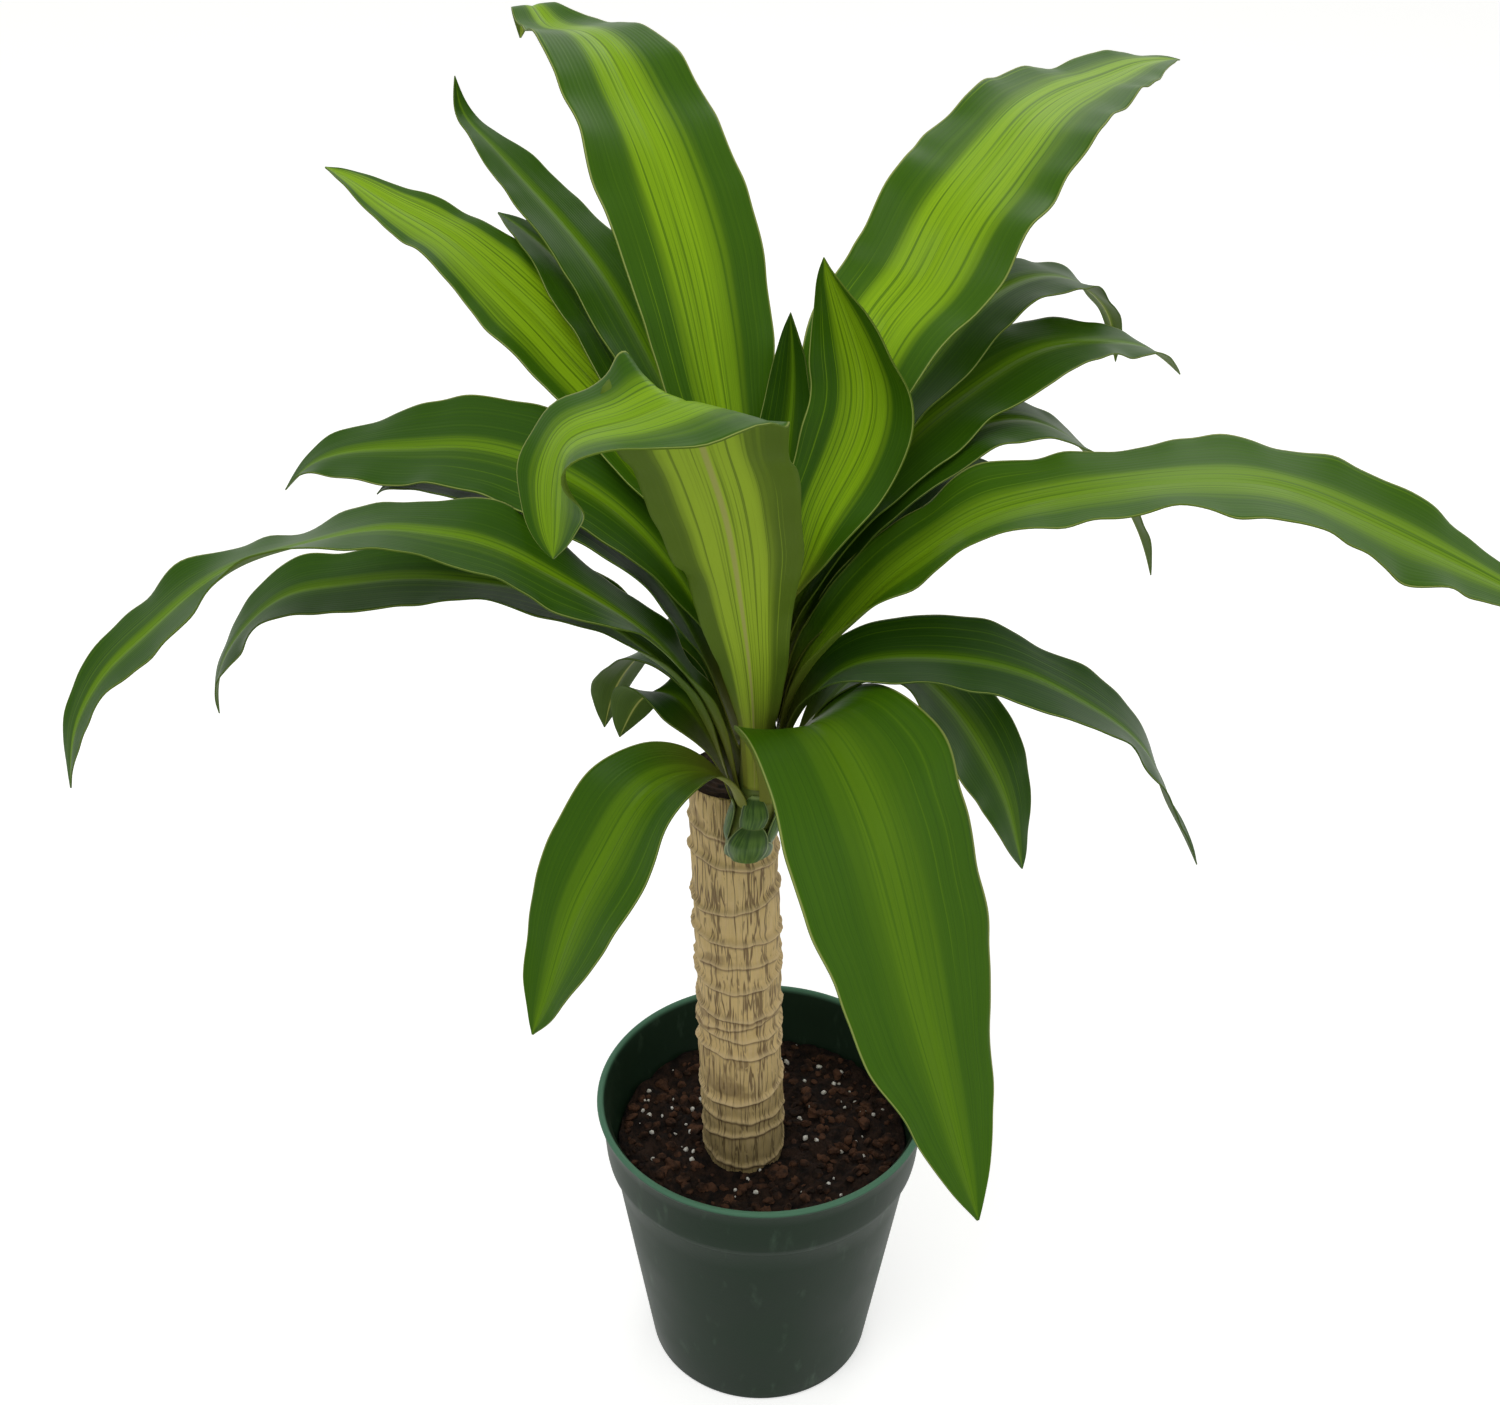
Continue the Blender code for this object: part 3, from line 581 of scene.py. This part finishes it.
makeMix()
scatter("barkBits", "barkBit", mix["bits"], 21, (0.9, 3.4), (0.3, 0.7), "mix")
scatter("perliteBits", "perlite", mix["perlite"], 34, (0.4, 1.6), (0.7, 1.1), "mix")
print("potting mix made")


# shoot and bud scales. Places are in mm from the crown, where the shoot leaves the cane.

crown = np.array([-4, -38, 340.0])
shoot = {"axis": np.array([(-4, 16, -34), (-4, 8, -26), (-3, 2, -14), (0, 0, 0), (0, 0, 30), (0, 0, 60),
                           (0, 0, 84)], float),
         "radii": np.array([8, 9, 9, 8.5, 7, 5, 3], float), "rows": 70, "sides": 64, "lobes": 0.03}


def shootAt(height):                   # the shoot's axis and radius at a height above the crown
    height = np.asarray(height, float)
    known = shoot["axis"][:, 2]
    return [np.interp(height, known, values)
            for values in (shoot["axis"][:, 0], shoot["axis"][:, 1], shoot["radii"])]


def makeShoot():
    foot, tip = shoot["axis"][[0, -1], 2]
    heights = np.linspace(foot, tip, shoot["rows"])[:, None]
    angles = np.linspace(0, 2 * np.pi, shoot["sides"], endpoint=False)[None]
    x, y, radius = shootAt(heights)
    radius = radius * (1 + shoot["lobes"] * np.sin(3 * angles + heights / 11))
    points = stacked(x + radius * np.cos(angles), y + radius * np.sin(angles), heights) + crown
    rows, sides = radius.shape
    faces = gridFaces(rows, sides, True).tolist() + [rowFace(0, sides)[::-1], rowFace(rows - 1, sides)]
    settle(surface("shootStem", points * mm, faces, [finishes["shoot"]]), "shoot", "shoot")


# heading and halfSpan are in degrees, the other lengths in mm; clear is the gap to the shoot, flare how far
# the tip stands off, bulge how far the middle does

scaleGrid = {"rows": 26, "columns": 27, "wall": 0.7, "stand": 0.4}
scales = {
    "bud_upper_scale": {"heading": -98, "halfSpan": 40, "low": -10, "high": 9, "clear": 0.4, "flare": -0.5,
                        "bulge": 2.2, "drop": 0.8},
    "bud_right_scale": {"heading": -32, "halfSpan": 30, "low": -20, "high": 3, "clear": 0.4, "flare": 1.2,
                        "bulge": 1.6, "drop": 0.5},
    "bud_left_scale": {"heading": -168, "halfSpan": 26, "low": -18, "high": 3, "clear": 0.4, "flare": 1,
                       "bulge": 1.2, "drop": 0.5},
    "bud_collar_scale": {"heading": -90, "halfSpan": 72, "low": -33, "high": -11, "clear": 1.2, "flare": 1,
                         "bulge": 0.8, "drop": 0.7},
    "bud_shield_scale": {"heading": -95, "halfSpan": 50, "low": -29, "high": -4, "clear": 2.6, "flare": -1.5,
                         "bulge": 2.4, "drop": 1},
}


def makeScale(node, heading, halfSpan, low, high, clear, flare, bulge, drop):
    # a shell round the shoot, bulged at its middle. Its span is a quarter ellipse, pointed at the tip,
    # where drop is 0, and an arch pointed at the foot where drop is 1
    up = np.linspace(0, 1, scaleGrid["rows"])[:, None]
    side = np.linspace(-1, 1, scaleGrid["columns"])[None]
    tipped = np.sqrt(1 - (0.985 * up) ** 2)
    arched = np.sqrt(np.sin(np.pi * (0.01 + 0.975 * up ** 0.8))) * (0.55 + 0.45 * up)
    span = np.radians(halfSpan) * (tipped * (1 - drop) + arched * drop)
    heights = low + up * (high - low)
    x, y, radius = shootAt(heights)
    angle = np.radians(heading) + side * span
    r = radius + clear + scaleGrid["stand"] + flare * up ** 2 \
        + bulge * np.sin(np.pi * up) * (1 - 0.5 * side ** 2)
    points = stacked(x + r * np.cos(angle), y + r * np.sin(angle), heights) + crown
    shell = surface(node.replace("bud_", "").replace("_scale", "") + "BudScale", points * mm,
                    gridFaces(*r.shape, False), [finishes["scale"]])
    addUv(shell, np.broadcast_to((side + 1) / 2, r.shape), np.broadcast_to(up, r.shape))
    addWall(shell, scaleGrid["wall"], 0)
    settle(shell, "scale", node)


makeShoot()
for node, values in scales.items():
    makeScale(node, **values)
print("shoot and bud scales made")


# leaves. heading: degrees from +X towards +Y. foot: where it starts on the shoot. reach, rise and
# swing: the midrib's points outwards, upwards and to the left of the heading, in mm. turn, roll and fold:
# degrees at even spaces from foot to tip. width is in mm, and widest is the share of the length where it
# is reached. band is the lime stripe's share of the blade, and ripple is how far its edges wave in mm.
# tone runs from a dark green at 0 to a fresh one at 1, and lime is the stripe's brightness.

blade = {"places": np.array((0, 0.08, 0.2, 0.35, 0.5, 0.65, 0.8, 0.9, 0.96, 1)),
         "shares": np.array((0.26, 0.32, 0.5, 0.82, 0.98, 0.96, 0.72, 0.44, 0.22, 0.015)),
         "thickness": 0.55, "rows": 150, "columns": 33, "broadest": 0.55, "hinge": 0.3, "footClear": 0.9,
         "footHalf": 5.0, "clasp": 46, "sway": 0.035, "swayPitch": 70, "wavePitches": (62, 74),
         "finePitch": 33, "fineShare": 0.25, "growLength": 70, "calmTip": 0.12, "groove": 0.55,
         "grooveHalf": 1.8, "leastRadius": 2}

leaves = {
    "leaf_front_right": {
        "heading": -57, "foot": 5, "reach": (12, 22, 40, 60, 73, 83, 100, 124, 145, 151),
        "rise": (22, 41, 58, 52, 41, 28, -4, -50, -87, -97), "roll": (0, 0, 0), "fold": (40, 5, 0, 5),
        "width": 78, "widest": 0.38, "band": 0.32, "ripple": 1.2, "tone": 0.95, "lime": 0.08},
    "leaf_front_left": {
        "heading": 216, "foot": 2, "reach": (12, 20, 33, 51, 69, 84, 99, 107),
        "rise": (10, 20, 27, 26, 6, -16, -50, -66), "roll": (0, -10, -10), "fold": (50, 15, 10, 10),
        "width": 50, "widest": 0.48, "band": 0.35, "ripple": 1.4, "tone": 0.7, "lime": 0.15},
    "leaf_front_folded": {
        "heading": -100, "foot": 12, "reach": (16, 29, 43, 55, 67, 77, 83, 87, 90, 92, 92, 90, 88),
        "rise": (60, 106, 147, 174, 195, 204, 203, 200, 198, 194, 182, 168, 150),
        "swing": (0, -2, -5, -9, -11, -12, -19, -28, -37, -45, -50, -52, -53),
        "turn": (0, 0, 0, 0, 0, 0, 0, 0, 0, -45, -65, -35, -5), "roll": (0, 0, 0, 0, 0, 0),
        "fold": (50, 15, 5, 0, 5, 10), "width": 60, "widest": 0.68, "band": 0.55, "ripple": 3.6,
        "tone": 0.6, "lime": 0.62},
    "leaf_left_lower": {
        "heading": 174, "foot": 3, "reach": (15, 30, 44, 61, 80, 106, 134, 162, 180, 197, 210, 215, 216),
        "rise": (20, 53, 67, 79, 88, 92, 92, 87, 82, 69, 51, 36, 25), "roll": (0, 0, -5, -15, -20),
        "fold": (60, 25, 10, 5, 5), "width": 42, "band": 0.16, "ripple": 2.2, "tone": 0.35, "lime": 0.3},
    "leaf_left_long": {
        "heading": 186, "foot": 8,
        "reach": (17, 36, 57, 78, 92, 106, 119, 135, 156, 176, 192, 208, 224, 239, 252, 257, 261),
        "rise": (38, 72, 92, 107, 116, 122, 125, 127, 124, 119, 113, 102, 88, 74, 55, 42, 23),
        "roll": (0, 2, -12, 18, -20, -30), "fold": (70, 12, 5, 5, 5, 10), "width": 46, "band": 0.2,
        "ripple": 2.4, "tone": 0.4, "lime": 0.3},
    "leaf_low_back": {
        "heading": 158, "foot": -2, "reach": (16, 26, 36, 46, 54, 60), "rise": (14, 32, 41, 40, 30, 16),
        "turn": (0, -15, -45, -60), "fold": (50, 15, 10), "width": 28, "widest": 0.55, "band": 0.12,
        "tone": 0.2, "lime": 0.1},
    "leaf_low_back_left": {
        "heading": 140, "foot": 4, "reach": (14, 26, 37, 50, 64, 77, 84),
        "rise": (26, 44, 54, 54, 42, 22, 0), "turn": (0, 0, -25, -50), "roll": (0, -20, -15),
        "fold": (50, 15, 10), "width": 34, "band": 0.12, "tone": 0.2, "lime": 0.1},
    "leaf_left_middle": {
        "heading": 162, "foot": 27, "reach": (17, 33, 52, 75, 105, 130, 148, 156),
        "rise": (50, 82, 103, 117, 121, 119, 116, 110), "roll": (0, 0, -8), "fold": (50, 15, 5, 5),
        "width": 37, "band": 0.12, "tone": 0.2, "lime": 0.1},
    "leaf_left_upper": {
        "heading": 158, "foot": 36, "reach": (16, 32, 55, 89, 119, 140, 166, 190, 206),
        "rise": (63, 92, 115, 130, 132, 128, 122, 112, 97), "roll": (0, -10, -25, -20),
        "fold": (50, 15, 5, 5), "width": 50, "band": 0.18, "ripple": 2, "tone": 0.4, "lime": 0.3},
    "leaf_light_left": {
        "heading": 136, "foot": 43, "reach": (16, 27, 43, 77, 98, 120, 143, 173, 205, 238, 254),
        "rise": (74, 97, 117, 146, 157, 168, 177, 187, 191, 196, 197), "roll": (0, -10, -10, -10),
        "fold": (50, 10, 5, 5), "width": 42, "band": 0.66, "ripple": 2.0, "tone": 0.8, "lime": 0.9},
    "leaf_narrow_left": {
        "heading": 126, "foot": 55, "reach": (10, 23, 44, 75, 101, 120, 142, 164, 191, 210, 213),
        "rise": (78, 104, 136, 165, 184, 193, 201, 208, 216, 224, 236), "fold": (50, 10, 5, 5),
        "width": 32, "band": 0.2, "ripple": 1.4, "tone": 0.5, "lime": 0.15},
    "leaf_short_left": {
        "heading": 128, "foot": 48, "reach": (12, 25, 43, 73, 98, 122, 149, 173),
        "rise": (76, 102, 125, 154, 171, 182, 189, 192), "fold": (50, 10, 5, 5), "width": 38, "band": 0.2,
        "tone": 0.4, "lime": 0.15},
    "leaf_tall_left": {
        "heading": 117, "foot": 66, "reach": (6, 13, 26, 40, 50, 60, 73, 89, 110, 130, 158, 192, 207, 223),
        "rise": (76, 96, 134, 168, 190, 206, 221, 236, 249, 260, 262, 258, 261, 245), "roll": (0, 0, 0, 0),
        "fold": (50, 10, 5, 5), "width": 57, "band": 0.4, "ripple": 1.6, "tone": 0.8, "lime": 0.75},
    "leaf_right_low": {
        "heading": 0, "foot": 11, "reach": (13, 30, 45, 64, 83, 103, 123, 140, 152, 160, 168, 177),
        "rise": (36, 61, 67, 68, 66, 60, 49, 37, 23, 5, -10, -28), "roll": (0, 10, 0, 0),
        "fold": (50, 10, 5, 5), "width": 46, "band": 0.16, "ripple": 2, "tone": 0.1, "lime": 0.1},
    "leaf_right_drooping": {
        "heading": 10, "foot": 2, "reach": (17, 26, 38, 54, 68, 80, 92, 102, 108, 112),
        "rise": (22, 42, 55, 58, 48, 33, 13, -9, -30, -46), "turn": (0, -20, -55, -60),
        "roll": (0, 0, 0, 0), "fold": (50, 10, 5, 5), "width": 40, "band": 0.25, "tone": 0.35, "lime": 0.2},
    "leaf_right_long": {
        "heading": 3, "foot": 27, "reach": (14, 32, 47, 62, 80, 107, 133, 160, 188, 218, 249, 275, 304),
        "rise": (52, 81, 99, 112, 124, 132, 136, 138, 135, 123, 108, 95, 80),
        "roll": (0, 14, -2, -2, 18, 18), "fold": (60, 20, 5, 5, 5), "width": 66, "widest": 0.58,
        "band": 0.4, "ripple": 2.4, "tone": 0.9, "lime": 0.4},
    "leaf_right_dark": {
        "heading": 34, "foot": 37, "reach": (15, 33, 58, 79, 97, 115, 126),
        "rise": (60, 83, 107, 119, 119, 111, 96), "roll": (0, 10, 10), "fold": (50, 10, 5, 5), "width": 28,
        "band": 0.1, "tone": 0.2, "lime": 0},
    "leaf_back_right_lower": {
        "heading": 36, "foot": 41, "reach": (15, 41, 72, 98, 126, 154, 175, 196, 207, 212),
        "rise": (68, 105, 128, 135, 132, 116, 95, 68, 48, 36), "roll": (0, 10, 10, 20),
        "fold": (50, 10, 5, 5), "width": 36, "band": 0.2, "tone": 0.4, "lime": 0.1},
    "leaf_back_right_middle": {
        "heading": 42, "foot": 47, "reach": (13, 44, 79, 107, 137, 166, 197, 221, 244),
        "rise": (72, 113, 136, 145, 151, 149, 141, 131, 114), "roll": (0, 10, 10, 10),
        "fold": (50, 10, 5, 5), "width": 42, "band": 0.22, "tone": 0.5, "lime": 0.15},
    "leaf_back_right_upper": {
        "heading": 48, "foot": 53, "reach": (11, 46, 85, 122, 152, 183, 210, 223, 231),
        "rise": (76, 124, 151, 170, 174, 167, 151, 137, 116), "roll": (0, 0, 10, 10),
        "fold": (50, 10, 5, 5), "width": 36, "band": 0.2, "tone": 0.4, "lime": 0.3},
    "leaf_tall_right": {
        "heading": 54, "foot": 62,
        "reach": (7, 15, 31, 50, 68, 87, 100, 115, 141, 166, 199, 238, 272, 311),
        "rise": (74, 92, 122, 154, 180, 191, 204, 214, 224, 232, 235, 233, 231, 225),
        "swing": (0, 0, -1, -3, -6, -8, -9, -9, -8, -6, -4, -2, 0, 0), "roll": (0, 10, 5, 5),
        "fold": (60, 10, 5, 5), "width": 62, "band": 0.5, "ripple": 2.2, "tone": 0.9, "lime": 0.85},
    "leaf_inner_back": {
        "heading": 70, "foot": 68, "reach": (5, 12, 20, 28, 31, 27), "rise": (80, 94, 122, 149, 168, 194),
        "fold": (60, 35, 15), "width": 25, "band": 0.2, "tone": 0.2, "lime": 0.2},
    "leaf_inner_right": {
        "heading": 12, "foot": 70, "reach": (7, 13, 22, 32, 37, 37, 31, 20),
        "rise": (84, 96, 123, 145, 161, 176, 196, 222), "turn": (20, 50, 60, 50, 40),
        "fold": (60, 40, 25, 20, 20), "width": 43, "widest": 0.6, "band": 0.42, "tone": 0.6, "lime": 0.85},
}


def smoothPath(points, count):
    # a natural cubic spline through the points, read at even lengths
    points = np.asarray(points, float)
    spans = np.linalg.norm(np.diff(points, axis=0), axis=1) ** 0.7
    knots = np.concatenate([[0], np.cumsum(spans)])
    total = len(points)
    inside = np.arange(1, total - 1)
    left, right = np.zeros((total, total)), np.zeros_like(points)
    left[0, 0] = left[-1, -1] = 1
    left[inside, inside - 1] = spans[:-1]
    left[inside, inside] = 2 * (spans[:-1] + spans[1:])
    left[inside, inside + 1] = spans[1:]
    right[1:-1] = 6 * np.diff(np.diff(points, axis=0) / spans[:, None], axis=0)
    bend = np.linalg.solve(left, right)
    fine = np.linspace(0, knots[-1], 40 * total)
    k = np.clip(np.searchsorted(knots, fine, side="right") - 1, 0, total - 2)
    span = spans[k][:, None]
    after = (fine - knots[k])[:, None]
    before = span - after
    path = ((bend[k] * before ** 3 + bend[k + 1] * after ** 3) / (6 * span)
            + (points[k] / span - bend[k] * span / 6) * before
            + (points[k + 1] / span - bend[k + 1] * span / 6) * after)
    length = np.concatenate([[0], np.cumsum(np.linalg.norm(np.diff(path, axis=0), axis=1))])
    places = np.linspace(0, length[-1], count)
    return np.stack([np.interp(places, length, path[:, axis]) for axis in range(3)], axis=1)


def eased(values, places):             # values at even spaces, joined by a smooth curve
    values = np.asarray(values, float)
    last = len(values) - 1
    if last == 0:
        return np.full_like(places, values[0])
    k = np.clip((places * last).astype(int), 0, last - 1)
    f = places * last - k
    a, b, c, d = (values[np.clip(k + shift, 0, last)] for shift in (-1, 0, 1, 2))
    return 0.5 * (2 * b + (c - a) * f + (2 * a - 5 * b + 4 * c - d) * f ** 2
                  + (3 * b - a - 3 * c + d) * f ** 3)


def bladeShare(places, widest):        # half width as a share, with the broadest place moved to widest
    q = np.where(places < widest, places / widest * blade["broadest"],
                 blade["broadest"] + (places - widest) / (1 - widest) * (1 - blade["broadest"]))
    known, shares = blade["places"], blade["shares"]
    k = np.clip(np.searchsorted(known, q, side="right") - 1, 0, len(known) - 2)
    slope = np.gradient(shares, known)
    h = known[k + 1] - known[k]
    f = (q - known[k]) / h
    return ((2 * f ** 3 - 3 * f ** 2 + 1) * shares[k] + (f ** 3 - 2 * f ** 2 + f) * h * slope[k]
            + (3 * f ** 2 - 2 * f ** 3) * shares[k + 1] + (f ** 3 - f ** 2) * h * slope[k + 1])


def unit(vectors):
    return vectors / np.maximum(np.linalg.norm(vectors, axis=-1, keepdims=True), 1e-9)


def bladeFrame(midrib, heading, turn, roll, places):
    # at each point of the midrib, the direction of the blade's left half and the one its top faces
    forward = unit(np.gradient(midrib, axis=0))
    turnedBy = heading + np.radians(eased(turn, places))
    side = np.stack([-np.sin(turnedBy), np.cos(turnedBy), np.zeros(blade["rows"])], axis=1)
    side = unit(side - np.sum(side * forward, axis=1, keepdims=True) * forward)
    upper = np.cross(forward, side)
    tilt = np.radians(eased(roll, places))[:, None]
    return side * np.cos(tilt) + upper * np.sin(tilt), upper * np.cos(tilt) - side * np.sin(tilt)


def makeLeaf(node, heading, foot, reach, rise, fold, width, band, tone, lime, swing=None, turn=(0,),
             roll=(0,), widest=0.5, ripple=1.6):
    # place = midrib(s) + across * half width(s) * side, closed upwards by fold(s), with waves that grow
    # towards the edges; near the foot the strip wraps round the shoot instead
    seed = sum(ord(letter) * (place + 1) for place, letter in enumerate(node))
    heading = np.radians(heading)
    out = np.array([np.cos(heading), np.sin(heading), 0])
    left = np.array([-np.sin(heading), np.cos(heading), 0])
    reach = [float(shootAt(foot)[2]) + blade["footClear"], *reach]
    swing = [0, *swing] if swing else [0] * len(reach)
    midrib = smoothPath(np.outer(reach, out) + np.outer(swing, left) + np.outer([foot, *rise], (0, 0, 1)),
                        blade["rows"])
    places = np.linspace(0, 1, blade["rows"])
    travel = np.concatenate([[0], np.cumsum(np.linalg.norm(np.diff(midrib, axis=0), axis=1))])
    side, upper = bladeFrame(midrib, heading, turn, roll, places)
    alongClasp = np.clip(travel / blade["clasp"], 0, 1)
    clasp = (1 - alongClasp ** 2 * (3 - 2 * alongClasp))[:, None]
    half = (width / 2 * bladeShare(places, widest))[:, None] * (1 - clasp) + blade["footHalf"] * clasp
    across = np.linspace(-1, 1, blade["columns"])[None]
    sway = waves(travel, seed + 5, blade["swayPitch"])[:, None]
    half = half * (1 + blade["sway"] * np.sign(across) * sway * np.abs(across))
    offset = half * across
    hinge = blade["hinge"] + (1 - blade["hinge"]) * np.abs(across)
    close = np.radians(eased(fold, places))[:, None] * hinge
    grown = np.clip(travel / blade["growLength"], 0, 1) * np.clip((1 - places) / blade["calmTip"], 0, 1)
    grown = grown[:, None]
    leftWave, rightWave = (waves(travel, seed + 1 + k, pitch)[:, None]
                           for k, pitch in enumerate(blade["wavePitches"]))
    wave = np.where(across < 0, leftWave, rightWave) * ripple * grown * np.abs(across) ** 2.2
    fineWave = blade["fineShare"] * waves(travel, seed + 3, blade["finePitch"])[:, None]
    wave = wave + fineWave * ripple * grown * np.abs(across) ** 3
    groove = blade["groove"] * np.exp(-(offset / blade["grooveHalf"]) ** 2) * (1 - clasp)
    lift = np.abs(offset) * np.sin(close) + wave - groove
    spread = (midrib[:, None] + (offset * np.cos(close))[..., None] * side[:, None]
              + lift[..., None] * upper[:, None])
    radius = np.hypot(midrib[:, 0], midrib[:, 1])[:, None]
    angle = np.arctan2(midrib[:, 1], midrib[:, 0])[:, None]
    angle = angle + offset / np.maximum(radius, blade["leastRadius"])
    hug = stacked(radius * np.cos(angle), radius * np.sin(angle), midrib[:, 2:])
    points = (spread * (1 - clasp)[..., None] + hug * clasp[..., None] + crown) * mm
    made = surface(node.replace("leaf_", "").title().replace("_", "") + "Leaf", points,
                   gridFaces(*offset.shape, False), [finishes["bladeUnder"], finishes["bladeTop"]])
    addUv(made, np.broadcast_to((across + 1) / 2, offset.shape),
          np.broadcast_to(travel[:, None] / 100, offset.shape))
    for name, value in (("band", band), ("tone", tone), ("lime", lime)):
        addMark(made, name, np.full(offset.size, value))
    wall = addWall(made, blade["thickness"], -1)
    wall.material_offset = 1
    settle(made, "leaf", node)


for node, values in leaves.items():
    makeLeaf(node, **values)
print("leaves made:", len(leaves))


# floor, light and camera

studio = {
    "sky": 0.5, "skyColour": (1, 1, 0.96, 1), "floor": (0.9, 0.9, 0.9, 1), "glow": 0.5, "aim": (0, 0, 0.35),
    "ground": [(-9, -6, 0), (9, -6, 0), (9, 14, 0), (-9, 14, 0)],
    "lamps": {"keyLamp": {"place": (-0.5, -0.9, 2.1), "size": 1.1, "power": 13},
              "fillLamp": {"place": (1.6, -1.2, 1.2), "size": 1.2, "power": 3.5},
              "rimLamp": {"place": (0.4, 1.4, 1.8), "size": 1.0, "power": 6}},
}
view = {"lens": 48, "sensor": 36, "down": 32.45, "lean": 0.57, "place": (-0.0076, -0.683, 0.797)}


def seenByEye(tree):                   # 1 for rays from the camera, a mirror or a glass, else 0
    rays = put(tree, "ShaderNodeLightPath").outputs
    clear = maths(tree, "MAXIMUM", rays["Is Glossy Ray"], rays["Is Transmission Ray"])
    return maths(tree, "MAXIMUM", rays["Is Camera Ray"], clear)


def makeFloor():
    finish, tree, shader = newFinish("studioFloor", Roughness=0.9)
    shader.inputs["Base Color"].default_value = studio["floor"]
    shader.inputs["Specular IOR Level"].default_value = 0.1
    shader.inputs["Emission Color"].default_value = (1, 1, 1, 1)
    tree.links.new(times(tree, seenByEye(tree), studio["glow"]), shader.inputs["Emission Strength"])
    floor = surface("studioFloor", studio["ground"], [(0, 1, 2, 3)], [finish], smooth=False)


def makeSky():                         # white where it is seen, dimmer as a light
    world = bpy.data.worlds.new("studio")
    bpy.context.scene.world = world
    world.use_nodes = True
    tree = world.node_tree
    tree.nodes.clear()
    lit, white = (put(tree, "ShaderNodeBackground", {"Color": colour, "Strength": strength}).outputs[0]
                  for colour, strength in ((studio["skyColour"], studio["sky"]), ((1, 1, 1, 1), 1.0)))
    mixed = put(tree, "ShaderNodeMixShader", {0: seenByEye(tree), 1: lit, 2: white}).outputs[0]
    put(tree, "ShaderNodeOutputWorld", {0: mixed})


def makeLamps():
    for name, values in studio["lamps"].items():
        lamp = bpy.data.lights.new(name, "AREA")
        lamp.energy, lamp.size = values["power"], values["size"]
        holder = bpy.data.objects.new(name, lamp)
        bpy.context.collection.objects.link(holder)
        holder.location = values["place"]
        aim = np.array(studio["aim"]) - np.array(values["place"])
        holder.rotation_euler = (math.atan2(math.hypot(aim[0], aim[1]), -aim[2]), 0,
                                 math.atan2(aim[1], aim[0]) - math.pi / 2)


def makeCamera():
    lens = bpy.data.cameras.new("viewCamera")
    lens.lens, lens.sensor_width, lens.sensor_fit = view["lens"], view["sensor"], "HORIZONTAL"
    holder = bpy.data.objects.new("viewCamera", lens)
    bpy.context.collection.objects.link(holder)
    down, lean = math.radians(view["down"]), math.radians(view["lean"])
    right, up = np.array([1, 0, 0]), np.array([0, math.sin(down), math.cos(down)])
    right, up = right * math.cos(lean) + up * math.sin(lean), up * math.cos(lean) - right * math.sin(lean)
    back = np.cross(right, up)
    rows = [[float(right[k]), float(up[k]), float(back[k]), view["place"][k]] for k in range(3)]
    holder.matrix_world = Matrix([*rows, [0, 0, 0, 1]])
    bpy.context.scene.camera = holder


makeFloor()
makeSky()
makeLamps()
makeCamera()
bpy.context.scene.view_settings.view_transform = "Standard"
print("studio made")
